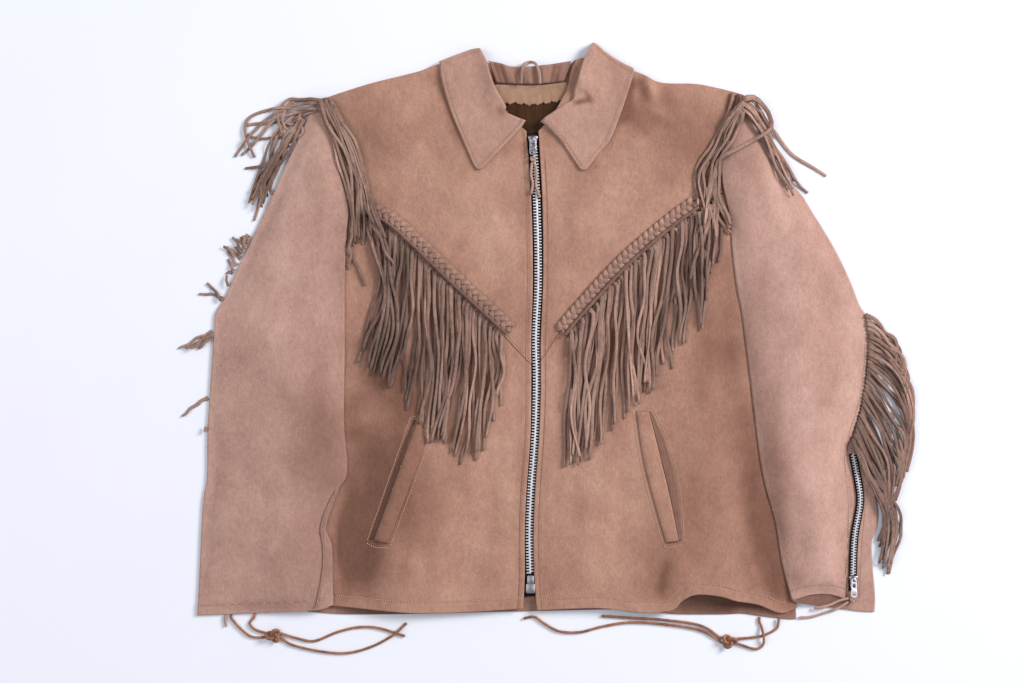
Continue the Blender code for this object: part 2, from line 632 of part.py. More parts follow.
def make_cuff_zip(under):
    tape = ribbon([CUFF_TAPE_END] + CUFF_ZIP_LINE, CUFF_TAPE_WIDTH, 13, rows=2)
    return wall("cuff_zip_tape", tape, lay(tape, under, GAP), TAPE, TAPE_LOOK)


def bezier(a, b, c, d, count=9):
    t = np.linspace(0, 1, count)[:, None]
    a, b, c, d = (np.array(p, float) for p in (a, b, c, d))
    return (1 - t) ** 3 * a + 3 * (1 - t) ** 2 * t * b + 3 * (1 - t) * t**2 * c + t**3 * d


def between(table, share):
    table = np.array(table, float)
    at = np.linspace(0, 1, len(table))
    return np.array([np.interp(share, at, table[:, 0]), np.interp(share, at, table[:, 1])])


def beside(edge, high, low, way):
    """The free edge of a strip that lies along a panel's edge from one height down to another."""
    fine = smooth_line(sorted(edge, key=lambda point: -point[1]), 160)
    fine = fine[(fine[:, 1] <= high) & (fine[:, 1] >= low)]
    ahead = np.gradient(fine, axis=0)
    ahead /= np.linalg.norm(ahead, axis=1)[:, None]
    out = np.column_stack([-ahead[:, 1], ahead[:, 0]]) * way
    return (fine + (STRIP_WIDTH + STRIP_GAP) * out)[::6].tolist()


# Each bundle of free fringe: the seam of its roots, then where its strands turn and end, from the
# seam's first point to its last, the number of strands and the width of one
BUNDLES = {
    "fringe_shoulder_front_r": {
        "seam": [(-240, 630), (-250, 623), (-261, 616)], "side": -1,
        "turn": [(-210, 578), (-218, 566), (-230, 552)],
        "end": [(-192, 428), (-206, 448), (-220, 462)], "strands": 6, "steps": 5, "width": 3.2},
    "fringe_shoulder_out_r": {
        "seam": beside(SLEEVE_OUT_R, 622, 566, -1), "side": 1,
        "turn": [(-346, 640), (-332, 600), (-318, 562)],
        "end": [(-372, 558), (-356, 508), (-338, 482)], "strands": 8, "steps": 5, "width": 3.0},
    "fringe_shoulder_front_l": {
        "seam": [(237, 634), (247, 628), (258, 621)], "side": 1,
        "turn": [(200, 564), (212, 554), (226, 540)],
        "end": [(204, 408), (220, 446), (238, 474)], "strands": 6, "steps": 5, "width": 3.2},
    "fringe_shoulder_out_l": {
        "seam": beside(SLEEVE_OUT_L, 622, 580, 1), "side": -1,
        "turn": [(332, 618), (326, 600), (321, 578)],
        "end": [(368, 540), (353, 520), (340, 502)], "strands": 5, "steps": 5, "width": 3.0},
    "fringe_sleeve_l": {
        "seam": beside(UNDER_OUT_L, 364, 226, 1), "side": -1,
        "turn": [(480, 300), (466, 270), (452, 240), (438, 210), (424, 180)],
        "end": [(475, 160), (464, 128), (453, 92), (442, 52), (430, 66)],
        "strands": 13, "steps": 5, "width": 3.0},
    "fringe_sleeve_r": {
        "seam": beside(SLEEVE_OUT_R, 462, 222, -1), "side": 1,
        "turn": [(-366, 460), (-380, 432), (-404, 374), (-410, 338), (-414, 256), (-410, 220)],
        "end": [(-372, 452), (-396, 412), (-420, 380), (-438, 326), (-437, 244), (-414, 214)],
        "strands": 12, "steps": 2, "width": 3.0},
}


def make_bundle(name, under):
    bundle = BUNDLES[name]
    roots = smooth_line(bundle["seam"], 2 * bundle["strands"] + 1)[1::2]
    paths = []
    for k, root in enumerate(roots):
        share = k / (bundle["strands"] - 1)
        turn, end = between(bundle["turn"], share), between(bundle["end"], share)
        end = end + (0, 5 * math.sin(2.6 * k))
        first = root + 0.6 * (turn - root)
        paths.append(bezier(root, first, turn, end))
    return fringe(name, bundle["seam"], paths, under, bundle["width"], bundle["steps"], bundle["side"])


# --- zips --------------------------------------------------------------------------------------

def make_chain(name, route, width, stations, under):
    grid = ribbon(route, width, stations, rows=2)
    return wall(name, grid, lay(grid, under, GAP), CHAIN_THICK, METAL_LOOK)


# A slider and its tab lie along the zip: the tab hangs from two ears on a cross axis
PULLS = {
    "zip": {"at": (2.3, 590), "scale": 1.0, "tab": 20.0, "knot": (2.8, 560.6), "knot_size": (9, 9.8, 6)},
    "cuff": {"at": (400.5, 44.3), "scale": 0.9, "tab": 20.0, "knot": (399, 15.2), "knot_size": (9, 9.8, 6)},
}


def make_slider(name, at, scale, under):
    """A slider: its waisted body, with two ears that carry the tab's axis. Gives the axis."""
    x, y = at
    long, wide = SLIDER_LENGTH * scale, SLIDER_WIDTH * scale
    low = max(top_under(under, x + dx, y + dy) for dx in (-wide / 2, 0, wide / 2)
              for dy in (-long, -long / 2, 0)) + GAP
    halves = [(0.5 * wide, y), (SLIDER_WAIST * wide, y - 0.55 * long), (SLIDER_TAIL * wide, y - long)]
    outline = [(x - half, at_y) for half, at_y in halves]
    outline += [(x + half, at_y) for half, at_y in reversed(halves)]
    high = low + SLIDER_THICK
    points, faces = prism(outline, low, high)
    body = add_mesh(name, points, faces, METAL_LOOK)
    ear_y = y - EAR_BACK * scale
    for sign in (-1, 1):
        inner, outer = x + sign * EAR_INNER * scale, x + sign * EAR_OUTER * scale
        ear = [(inner, ear_y - EAR_HALF), (outer, ear_y - EAR_HALF),
               (outer, ear_y + EAR_HALF), (inner, ear_y + EAR_HALF)]
        points, faces = prism(ear, low + EAR_FOOT, high + EAR_HEIGHT)
        cutter = add_mesh(name + "_ear", points, faces, METAL_LOOK)
        cutter.hide_render = True
        cutter.display_type = "WIRE"
        join = body.modifiers.new("ear", "BOOLEAN")
        join.operation = "UNION"
        join.object = cutter
    return (x, ear_y, high + AXIS_HEIGHT)


def make_pull(name, axis, scale, length):
    """A tab with a round root between the ears. Its origin is on the axis that it swings on."""
    x, y, z = axis
    half = TAB_ROOT_HALF * scale
    points = []
    for side in (-half, half):
        for k in range(8):
            turn = 2 * math.pi * (k + 0.5) / 8
            points.append((x + side, y + TAB_ROOT_RADIUS * math.cos(turn),
                           z + TAB_ROOT_RADIUS * math.sin(turn)))
    faces = [tuple(range(8)), tuple(range(8, 16))]
    faces += [(k, (k + 1) % 8, 8 + (k + 1) % 8, 8 + k) for k in range(8)]
    root = add_mesh(name, points, faces, METAL_LOOK, origin=axis)
    tab = [(x - half * 0.8, y), (x - half * 1.3, y - 0.45 * length), (x - half * 1.1, y - length),
           (x + half * 1.1, y - length), (x + half * 1.3, y - 0.45 * length), (x + half * 0.8, y)]
    points, faces = prism(tab, z - TAB_THICK / 2, z + TAB_THICK / 2)
    blade = add_mesh(name + "_blade", points, faces, METAL_LOOK, origin=axis)
    blade.hide_render = True
    blade.display_type = "WIRE"
    join = root.modifiers.new("blade", "BOOLEAN")
    join.operation = "UNION"
    join.object = blade


# Thongs tied through the tabs, which move with them
TAB_THONGS = {
    "zip_thong_a": [(0.8, 555.4), (0, 542), (2, 530), (0, 518)],
    "zip_thong_b": [(4.8, 555.4), (7, 543), (6, 530), (11, 514)],
    "cuff_thong_a": [(394.3, 12.2), (381, 4), (362, -3), (348, -7), (334, -8)],
    "cuff_thong_b": [(394.0, 16.6), (384, 14), (370, 8), (352, 4)],
}
LACES = {
    "lace_loop_a_r": [(-373, -4.3), (-372.5, -9), (-361, -22), (-347, -32), (-328.4, -32.5)],
    "lace_loop_b_r": [(-344, -3.1), (-344.5, -8), (-350, -15), (-343, -23), (-328.4, -27.5)],
    "lace_tail_a_r": [(-311.6, -27.5), (-290, -34), (-269, -37), (-241, -26), (-215, -20), (-190, -21),
                      (-157, -31)],
    "lace_tail_b_r": [(-311.6, -32.5), (-297, -42), (-262, -50), (-229, -52), (-198, -44), (-172, -30),
                      (-155, -15)],
    "lace_loop_a_l": [(308, -8.8), (307.5, -14), (305, -22), (286, -31), (254.4, -34.5)],
    "lace_loop_b_l": [(284, -7.4), (284, -13), (287, -21), (289, -40), (279, -47), (254.4, -39.5)],
    "lace_tail_a_l": [(238.0, -39.5), (211, -24), (167, -16.5), (123, -14), (89, -19), (61, -26), (35, -25),
                      (16, -15), (4, -7), (-9, -9)],
    "lace_tail_b_l": [(237.6, -34.5), (211, -18), (167, -11), (128, -8.7), (88, -6)],
}
CUFF_THONG_END_R = [(-380, -4.5), (-380.5, -11), (-379, -19)]
HANGER_LOOP = [(-10, 657), (-10, 668), (-2, 682), (7, 669), (11, 657)]
KNOT_SIZE = (18, 15, 9)
KNOTS = {"lace_knot_r": (-320, -30), "lace_knot_l": (246, -37)}


def clear_scene():
    for obj in list(bpy.data.objects):
        bpy.data.objects.remove(obj, do_unlink=True)


def settle(cords):
    """Moves all so that the origin is under the middle of what is not a cord."""
    bpy.context.view_layer.update()
    corners = []
    for obj in bpy.data.objects:
        if obj.name not in cords and not obj.hide_render:
            corners += [obj.matrix_world @ Vector(c) for c in obj.bound_box]
    corners = np.array([tuple(c) for c in corners])
    middle = (corners.min(axis=0) + corners.max(axis=0)) / 2
    shift = Vector((-middle[0], -middle[1], 0))
    for obj in bpy.data.objects:
        if obj.type == "CURVE":
            for point in obj.data.splines[0].points:
                point.co.xyz += shift
        else:
            obj.location += shift
    print("moved by", [round(v / MM, 2) for v in shift])


def main():
    clear_scene()
    back = make_back()
    neck = make_neck()
    tape = make_zip_tape()
    fronts = make_fronts([tree_of(o) for o in neck[:2] + [tape]])
    body = [tree_of(o) for o in [back] + neck + fronts]
    chain = make_chain("zip_chain", ZIP_LINE, CHAIN_WIDTH, 31, [tree_of(tape)])
    low = max(top_under([tree_of(tape)], x, y) for x, y in ZIP_BOX) + GAP
    box = add_mesh("zip_box", *prism(ZIP_BOX, low, low + ZIP_BOX_THICK), METAL_LOOK)
    leaves = make_collar(body)
    body += [tree_of(o) for o in leaves + [chain, box, tape]]
    thong("hanger_loop", HANGER_LOOP, LOOP_RADIUS, body)
    pockets = make_pockets(body)
    braids = make_braids(body)
    body += [tree_of(o) for o in pockets + braids]
    hanging = make_yoke_fringes(body)
    body += [tree_of(o) for o in hanging]

    under_r = make_sleeve_under("sleeve_under_r", CUFF_R, SLEEVE_OUT_R, SLEEVE_IN_R, body)
    under_l = make_sleeve_under("sleeve_under_l", CUFF_UNDER_L, SLEEVE_IN_L, UNDER_OUT_L, body)
    cuff_tape = make_cuff_zip([tree_of(under_l)])
    upper_r = make_sleeve_upper("sleeve_upper_r", CUFF_R, SLEEVE_OUT_R, SLEEVE_IN_R,
                                [tree_of(under_r)], SLEEVE_FOLDS_R)
    upper_l = make_sleeve_upper("sleeve_upper_l", CUFF_L, SLEEVE_IN_L, SLEEVE_OUT_L,
                                [tree_of(under_l), tree_of(cuff_tape)] + body, SLEEVE_FOLDS_L)
    body += [tree_of(o) for o in (under_r, under_l, upper_r, upper_l, cuff_tape)]
    cuff_chain = make_chain("cuff_zip_chain", CUFF_ZIP_LINE, CUFF_CHAIN_WIDTH, 13, body)
    body.append(tree_of(cuff_chain))
    for name in BUNDLES:
        body.append(tree_of(make_bundle(name, body)))

    for name, size in PULLS.items():
        axis = make_slider(name + "_slider", size["at"], size["scale"], body)
        make_pull(name + "_pull", axis, size["scale"], size["tab"])
        print(name + "_pull axis", [round(v, 2) for v in axis])
        knot(name + "_pull_knot", size["knot"], size["knot_size"], body)
    for name, route in TAB_THONGS.items():
        body.append(tree_of(thong(name, route, LACE_RADIUS, body)))
    thong("cuff_thong_end_r", CUFF_THONG_END_R, LACE_RADIUS, body)

    for name, place in KNOTS.items():
        knot(name, place, KNOT_SIZE, body)
    for name, route in LACES.items():
        body.append(tree_of(thong(name, route, LACE_RADIUS, body)))
    tied = {name + "_pull_knot" for name in PULLS}
    settle(set(LACES) | set(KNOTS) | set(TAB_THONGS) | tied)


main()
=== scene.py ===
# %% [markdown]
# # A fringed suede jacket, laid flat
# This lesson dresses the solid model of a jacket in Blender. The jacket lies on its back: a back
# panel, four front panels, two flattened sleeves, a pointed collar, braided yoke seams, long fringe,
# two zips and two pairs of laces. The solid model is loaded first, and stays fixed: every new piece
# is worked out with numpy in the same place and rides on one of the model's bodies.

import bpy
import numpy as np
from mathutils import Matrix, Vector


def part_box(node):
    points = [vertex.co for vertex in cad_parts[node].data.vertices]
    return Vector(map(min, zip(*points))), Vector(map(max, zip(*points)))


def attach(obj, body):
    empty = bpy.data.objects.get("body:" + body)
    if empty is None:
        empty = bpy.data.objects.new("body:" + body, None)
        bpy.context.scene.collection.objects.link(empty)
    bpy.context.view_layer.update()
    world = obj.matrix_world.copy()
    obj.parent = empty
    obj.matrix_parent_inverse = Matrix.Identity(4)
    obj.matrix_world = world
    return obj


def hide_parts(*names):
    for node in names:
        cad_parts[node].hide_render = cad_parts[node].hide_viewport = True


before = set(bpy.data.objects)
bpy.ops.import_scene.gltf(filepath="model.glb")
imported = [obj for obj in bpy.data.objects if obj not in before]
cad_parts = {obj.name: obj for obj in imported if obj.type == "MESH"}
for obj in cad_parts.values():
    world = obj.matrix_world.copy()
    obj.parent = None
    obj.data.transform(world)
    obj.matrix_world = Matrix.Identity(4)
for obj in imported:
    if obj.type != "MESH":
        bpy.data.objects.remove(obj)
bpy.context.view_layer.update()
MM = 0.001

# %% [markdown]
# ## Where the pattern lies
# The pieces below are drawn on a pattern, in millimetres, with X counted from the zip and Y from the
# hem. One known corner of the solid model, that of the zip's end box, ties the pattern to the frame,
# so the tables stay readable and nothing has to be fitted by eye.

# %% From pattern to frame
ZIP_BOX_CORNER = np.array([-5.5, 23.0])
SHIFT = np.array(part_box("zip_box")[0][:2]) / MM - ZIP_BOX_CORNER


def spot(x, y, z=0.0):
    """A pattern point as a point of the frame, in metres."""
    return ((x + SHIFT[0]) * MM, (y + SHIFT[1]) * MM, z * MM)


print("pattern shift in mm", SHIFT.round(2))

# %% [markdown]
# ## Camera and light
# The jacket is looked at from straight above, so a camera on a tall stand is right: its lens is long
# enough that the sleeves don't lean outwards. Suede shows its nap best in soft light from one side,
# so one wide lamp stands on the right, a weaker one on the left, and the pale room fills the rest.

# %% The camera and the lamps
VIEW_CENTRE = (-23.6, 335.4)
VIEW_WIDTH = 1269.8
CLOTH_LEVEL = 8.0
camera_data = bpy.data.cameras.new("camera")
camera_data.lens = 60
camera_data.sensor_width = 36
distance = VIEW_WIDTH * camera_data.lens / camera_data.sensor_width + CLOTH_LEVEL
camera = bpy.data.objects.new("camera", camera_data)
camera.location = spot(*VIEW_CENTRE, distance)
bpy.context.scene.collection.objects.link(camera)
bpy.context.scene.camera = camera

LAMPS = (
    # name, place in metres, width in metres, power in watts, colour
    ("key_lamp", (3.35, 1.75, 2.35), 1.5, 215.0, (1.0, 0.985, 0.965)),
    ("fill_lamp", (-2.2, 0.2, 2.6), 2.4, 34.0, (0.96, 0.98, 1.0)),
)


def add_lamp(name, place, width, power, colour):
    """A square soft lamp that points at the middle of the jacket."""
    data = bpy.data.lights.new(name, "AREA")
    data.size = width
    data.energy = power
    data.color = colour
    lamp = bpy.data.objects.new(name, data)
    lamp.location = place
    lamp.rotation_mode = "QUATERNION"
    lamp.rotation_quaternion = (-lamp.location).to_track_quat("-Z", "Y")
    bpy.context.scene.collection.objects.link(lamp)


for lamp_row in LAMPS:
    add_lamp(*lamp_row)
world = bpy.data.worlds.new("pale_room")
world.use_nodes = True
room = world.node_tree.nodes["Background"].inputs
room["Color"].default_value = (0.93, 0.95, 1.0, 1)
room["Strength"].default_value = 0.46
bpy.context.scene.world = world
bpy.context.scene.view_settings.view_transform = "Standard"
print("camera height", round(distance * MM, 3), "m")

# %% [markdown]
# ## Curves, grids and meshes
# Every piece of cloth starts as four edges. A smooth curve is drawn through each edge's few points,
# and the patch between them blends opposite edges. Meshes are made from whole arrays of points.

# %% Curve and grid helpers
def resampled(points, known, wanted):
    """The points of a row at the wanted values, straight between those at the known values."""
    return np.stack([np.interp(wanted, known, column) for column in points.T], axis=-1)


def along(route, shares):
    """The smooth (Catmull-Rom) curve through the route, at the given shares of its length:
    each stretch is the cubic that leaves a point in the direction of its two neighbours."""
    knots = np.array(route, float)
    ends = np.vstack([2 * knots[0] - knots[1], knots, 2 * knots[-1] - knots[-2]])
    a, b, c, d = (ends[k:len(ends) - 3 + k, None] for k in range(4))
    t = np.linspace(0, 1, 16, endpoint=False)[None, :, None]
    fine = 0.5 * (2 * b + (c - a) * t + (2 * a - 5 * b + 4 * c - d) * t**2
                  + (3 * b - a - 3 * c + d) * t**3)
    fine = np.vstack([fine.reshape(-1, knots.shape[1]), knots[-1:]])
    reach = np.concatenate([[0], np.cumsum(np.linalg.norm(np.diff(fine, axis=0), axis=1))])
    return resampled(fine, reach, np.asarray(shares, float) * reach[-1])


def length_of(route):
    """The length of the smooth curve through a route."""
    return float(np.linalg.norm(np.diff(along(route, np.linspace(0, 1, 300)), axis=0), axis=1).sum())


def soft_step(value):
    """0 below 0, 1 above 1, and the cubic 3v2 - 2v3 between."""
    value = np.clip(value, 0, 1)
    return value * value * (3 - 2 * value)


def directions(points):
    """Unit steps along a row of points."""
    ahead = np.gradient(points, axis=-2)
    return ahead / np.maximum(np.linalg.norm(ahead, axis=-1, keepdims=True), 1e-9)


def left_of(ahead):
    """Directions turned a quarter to the left: (x, y) becomes (-y, x)."""
    return np.stack([-ahead[..., 1], ahead[..., 0]], axis=-1)


def four_edges(low=None, right=None, top=None, left=None):
    """A patch's edges. One that isn't given is the straight line between its neighbours' ends."""
    if low is None:
        low, top = [left[0], right[0]], [left[-1], right[-1]]
    if top is None:
        top = [left[-1], right[-1]]
    if left is None:
        left, right = [low[0], top[0]], [low[-1], top[-1]]
    return low, right, top, left


def blend_edges(edges, u, v):
    """A Coons patch: the blend of low and top edges, plus that of left and right, less the blend
    of the four corners."""
    low, right, top, left = edges
    left = [low[0]] + list(left[1:-1]) + [top[0]]
    right = [low[-1]] + list(right[1:-1]) + [top[-1]]
    corner = np.array([low[0], low[-1], top[0], top[-1]], float)
    s, t = u[None, :, None], v[:, None, None]
    corners = ((1 - s) * (1 - t) * corner[0] + s * (1 - t) * corner[1]
               + (1 - s) * t * corner[2] + s * t * corner[3])
    return ((1 - t) * along(low, u)[None] + t * along(top, u)[None]
            + (1 - s) * along(left, v)[:, None] + s * along(right, v)[:, None] - corners)


def add_piece(name, points, faces, look, body="jacket", smooth=True, values=None):
    """A mesh object from points in pattern millimetres, at the origin, riding on a body."""
    placed = (np.asarray(points, float) + [SHIFT[0], SHIFT[1], 0]) * MM
    mesh = bpy.data.meshes.new(name)
    mesh.from_pydata(placed.tolist(), [], [face.tolist() if hasattr(face, "tolist") else face
                                           for face in faces])
    mesh.polygons.foreach_set("use_smooth", [smooth] * len(mesh.polygons))
    for label, numbers in (values or {}).items():
        attribute = mesh.attributes.new(label, "FLOAT", "POINT")
        attribute.data.foreach_set("value", np.asarray(numbers, np.float32))
    mesh.materials.append(look)
    piece = bpy.data.objects.new(name, mesh)
    bpy.context.scene.collection.objects.link(piece)
    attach(piece, body)
    return piece


def dress(piece, solid):
    """Puts a piece in a solid's place, and hides the solid."""
    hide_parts(solid)
    return piece


def quads_of(index):
    """The four-cornered faces between neighbouring rows of an index grid."""
    a, b, c, d = index[:-1, :-1], index[:-1, 1:], index[1:, 1:], index[1:, :-1]
    return np.stack([a, b, c, d], axis=-1).reshape(-1, 4)


def walls_of(index):
    """The four-cornered faces between neighbouring rings of an index grid, whose rings close."""
    after = np.roll(index, -1, axis=-1)
    return np.stack([index[..., :-1, :], after[..., :-1, :], after[..., 1:, :], index[..., 1:, :]],
                    axis=-1).reshape(-1, 4)


def joined(parts):
    """Several lists of points and faces as one."""
    points, faces, start = [], [], 0
    for some, more in parts:
        points.append(some)
        faces += [[corner + start for corner in face] for face in more]
        start += len(some)
    return np.vstack(points), faces


print("helpers ready")

# %% [markdown]
# ## The ground map
# Laid-out clothes are a stack. To lay a strand or a lace on what is under it, the lesson keeps a map
# of heights, one cell to a millimetre. Each finished piece raises the map, and the next piece reads
# it. A ray for each point would do as well, but the map works on whole arrays at once.

# %% The map of heights
MAP_LOW = np.array([-480.0, -90.0])
MAP_SIZE = (810, 980)
FILL_PARTS = 6
ground = np.zeros(MAP_SIZE)


def cells(x, y):
    """Rows and columns of the map for pattern points."""
    row = np.clip((np.asarray(y) - MAP_LOW[1]).astype(int), 0, MAP_SIZE[0] - 1)
    column = np.clip((np.asarray(x) - MAP_LOW[0]).astype(int), 0, MAP_SIZE[1] - 1)
    return row, column


def raise_ground(points):
    """Raises the map to a grid's surface, after each cell of the grid is filled bilinearly."""
    rows, columns = points.shape[:2]
    at = np.linspace(0, rows - 1, (rows - 1) * FILL_PARTS + 1)
    to = np.linspace(0, columns - 1, (columns - 1) * FILL_PARTS + 1)
    j, i = np.minimum(at.astype(int), rows - 2), np.minimum(to.astype(int), columns - 2)
    t, s = (at - j)[:, None, None], (to - i)[None, :, None]
    fine = ((1 - t) * (1 - s) * points[j][:, i] + (1 - t) * s * points[j][:, i + 1]
            + t * (1 - s) * points[j + 1][:, i] + t * s * points[j + 1][:, i + 1])
    np.maximum.at(ground, cells(fine[..., 0], fine[..., 1]), fine[..., 2])


def smooth_map(values, known, reach):
    """A weighted mean over the cells round each cell, of the known ones alone."""
    kernel = np.exp(-np.linspace(-2, 2, 4 * reach + 1) ** 2)

    def spread(array):
        """A weighted sum along the rows, then along the columns."""
        for axis in (0, 1):
            array = np.apply_along_axis(lambda line: np.convolve(line, kernel, "same"), axis, array)
        return array

    return spread(np.where(known, values, 0)) / np.maximum(spread(known.astype(float)), 1e-6)


def solid_top(node, reach=9):
    """The top of a solid of the model as a smooth map: its triangles are filled with points,
    the highest in each cell kept, and the facets smoothed away."""
    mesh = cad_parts[node].data
    points = np.empty(len(mesh.vertices) * 3)
    mesh.vertices.foreach_get("co", points)
    points = points.reshape(-1, 3) / MM - [SHIFT[0], SHIFT[1], 0]
    mesh.calc_loop_triangles()
    corners = np.empty(len(mesh.loop_triangles) * 3, int)
    mesh.loop_triangles.foreach_get("vertices", corners)
    a, b, c = (points[corners.reshape(-1, 3)[:, k], None] for k in range(3))
    share = np.linspace(0, 1, 46)
    s, t = (grid.ravel()[None, :, None] for grid in np.meshgrid(share, share))
    fill = a + (b - a) * s * (1 - t) + (c - a) * t
    top = np.zeros(MAP_SIZE)
    np.maximum.at(top, cells(fill[..., 0], fill[..., 1]), fill[..., 2])
    return smooth_map(top, top > 0, reach)


def read_map(values, x, y):
    """A map's value between its cells, bilinearly."""
    column = np.clip(np.asarray(x) - MAP_LOW[0] - 0.5, 0, MAP_SIZE[1] - 2.001)
    row = np.clip(np.asarray(y) - MAP_LOW[1] - 0.5, 0, MAP_SIZE[0] - 2.001)
    i, j = column.astype(int), row.astype(int)
    s, t = column - i, row - j
    return ((1 - t) * ((1 - s) * values[j, i] + s * values[j, i + 1])
            + t * ((1 - s) * values[j + 1, i] + s * values[j + 1, i + 1]))


print("map of", MAP_SIZE, "cells")

# %% [markdown]
# ## Suede
# Suede is leather with its flesh side out, brushed to a short nap. It has almost no shine, and three
# sizes of unevenness: broad patches where the nap was stroked one way or the other, short streaks of
# the brush, and a fine grain. Each is a noise pattern in the object's own metres, so its scale is
# the real one. Two numbers stored on the cloth, the distance to a stitched line and to a cut edge,
# let the colour and the relief sink along seams. A third stored number is painted shade and light:
# it makes the colour darker or lighter in the stripes listed below.

# %% Node helper and the suede
def add_node(tree, kind, inputs=None, **settings):
    """A node with its settings made, and each input given a value or linked from a socket."""
    made = tree.nodes.new("ShaderNode" + kind)
    for key, value in settings.items():
        setattr(made, key, value)
    for key, value in (inputs or {}).items():
        if isinstance(value, bpy.types.NodeSocket):
            tree.links.new(value, made.inputs[key])
        else:
            made.inputs[key].default_value = value
    return made


def shade(colour):
    """An sRGB colour out of 255, as Blender's linear values."""
    part = np.array(colour, float) / 255
    linear = np.where(part <= 0.04045, part / 12.92, ((part + 0.055) / 1.055) ** 2.4)
    return (*linear.tolist(), 1)


def new_look(name, roughness, metallic=0.0, sheen=0.0):
    """A look with its node tree, its shader and the socket of the object's own coordinates."""
    look = bpy.data.materials.new(name)
    look.use_nodes = True
    shader = look.node_tree.nodes["Principled BSDF"]
    shader.inputs["Roughness"].default_value = roughness
    shader.inputs["Metallic"].default_value = metallic
    shader.inputs["Sheen Weight"].default_value = sheen
    shader.inputs["Sheen Roughness"].default_value = 0.5
    return look, look.node_tree, shader, add_node(look.node_tree, "TexCoord").outputs["Object"]


def noise_at(tree, place, scale, stretch=(1, 1, 1), turn=0.0, detail=3.0):
    """Noise of the given scale a metre, drawn out and turned about Z by a Mapping node."""
    laid = add_node(tree, "Mapping", {"Vector": place, "Rotation": (0, 0, turn), "Scale": stretch})
    noise = add_node(tree, "TexNoise", {"Vector": laid.outputs[0], "Scale": scale, "Detail": detail,
                                        "Roughness": 0.55})
    return noise.outputs["Fac"]


def reckon(tree, operation, first, second):
    """A Math node's result."""
    return add_node(tree, "Math", {0: first, 1: second}, operation=operation).outputs[0]


def weigh(tree, parts):
    """The sum of 0.5 and of each socket's distance from 0.5 times its weight."""
    total = 0.5
    for socket, weight in parts:
        part = reckon(tree, "SUBTRACT", reckon(tree, "MULTIPLY", socket, weight), weight / 2)
        total = reckon(tree, "ADD", total, part)
    return total


def stored(tree, label):
    """A number stored on the mesh's points."""
    return add_node(tree, "Attribute", attribute_name=label).outputs["Fac"]


def remap(tree, value, low, high, to_low, to_high):
    """A value whose range from low to high becomes to_low to to_high."""
    limits = {"Value": value, "From Min": low, "From Max": high, "To Min": to_low, "To Max": to_high}
    return add_node(tree, "MapRange", limits).outputs[0]


def three_tones(tree, share, colours, margin):
    """A ramp from the first colour, a margin from its start, through the second to the third."""
    ramp = add_node(tree, "ValToRGB", {"Fac": share})
    stops = ramp.color_ramp.elements
    stops[0].position, stops[0].color = margin, shade(colours[0])
    stops[1].position, stops[1].color = 1 - margin, shade(colours[2])
    stops.new(0.5).color = shade(colours[1])
    return ramp.outputs["Color"]


def surface(tree, shader, colour, relief, strength, depth):
    """Gives a shader its colour, and its relief as a bump of the given depth in metres."""
    tree.links.new(colour, shader.inputs["Base Color"])
    bump = add_node(tree, "Bump", {"Height": relief, "Strength": strength, "Distance": depth})
    tree.links.new(bump.outputs[0], shader.inputs["Normal"])


def blend_colours(tree, share, low, high, how="MIX"):
    """A Mix node set to colour: its colour sockets are the seventh and eighth."""
    mixed = tree.nodes.new("ShaderNodeMix")
    mixed.data_type = "RGBA"
    mixed.blend_type = how
    for key, value in ((0, share), (6, low), (7, high)):
        if isinstance(value, bpy.types.NodeSocket):
            tree.links.new(value, mixed.inputs[key])
        else:
            mixed.inputs[key].default_value = value
    return mixed.outputs[2]


def suede(name, dark, middle, light, brush=0.5, seams=True, strands=False):
    """Brushed suede: a colour ramp over patches, streaks and grain, darker in seams and on cut
    edges, darker or lighter by its stored painted shade and light, with a bump from the grain and the
    streaks. Strands take their stored tone, and darken toward their cut sides, partly painted shade."""
    look, tree, shader, place = new_look(name, 0.93, sheen=0.12)
    clouds = noise_at(tree, place, 7, (1, 0.8, 1), brush)
    patches = noise_at(tree, place, 22, (1, 0.75, 1), brush + 0.5)
    strokes = noise_at(tree, place, 60, (1, 0.55, 1), brush + 0.4)
    scuffs = noise_at(tree, place, 170, (1, 0.7, 1), brush - 0.3)
    grain = noise_at(tree, place, 620, detail=4.0)
    fur = noise_at(tree, place, 330, (1, 0.55, 1), brush + 0.9)
    share = weigh(tree, ((clouds, 0.45), (patches, 0.5), (strokes, 0.22), (scuffs, 0.3), (grain, 0.5),
                         (fur, 0.34)))
    colour = three_tones(tree, share, (dark, middle, light), 0.05)
    if seams:
        sunk = remap(tree, stored(tree, "seam"), 0.3, 2.6, 0.89, 1.0)
        worn = remap(tree, stored(tree, "edge"), 0.0, 1.2, 0.94, 1.0)
        # Painted shade and light: the stored factor makes the colour darker or lighter, and green and
        # blue fall faster than red, so the painted shade is warmer; seams and worn edges darken it
        # too.
        red = reckon(tree, "MULTIPLY", reckon(tree, "MULTIPLY", sunk, worn), stored(tree, "painted_shade_and_light"))
        tints = {"Red": red, "Green": reckon(tree, "POWER", red, 1.25),
                 "Blue": reckon(tree, "POWER", red, 1.38)}
        colour = blend_colours(tree, 1.0, colour, add_node(tree, "CombineColor", tints).outputs[0],
                               "MULTIPLY")
    if strands:
        # Strands take their stored tone: their own uneven tone, and for fringe ribbons painted shade
        # at the roots and in listed stripes.
        colour = blend_colours(tree, 1.0, colour, stored(tree, "tone"), "MULTIPLY")
        # Strands darken toward their cut sides: partly a raw cut edge, partly painted shade in the
        # gaps between them.
        colour = blend_colours(tree, stored(tree, "cut"), colour, shade(dark))
    relief = weigh(tree, ((grain, 0.9), (fur, 0.7), (scuffs, 0.5)))
    surface(tree, shader, colour, relief, 0.55, 0.0006)
    return look


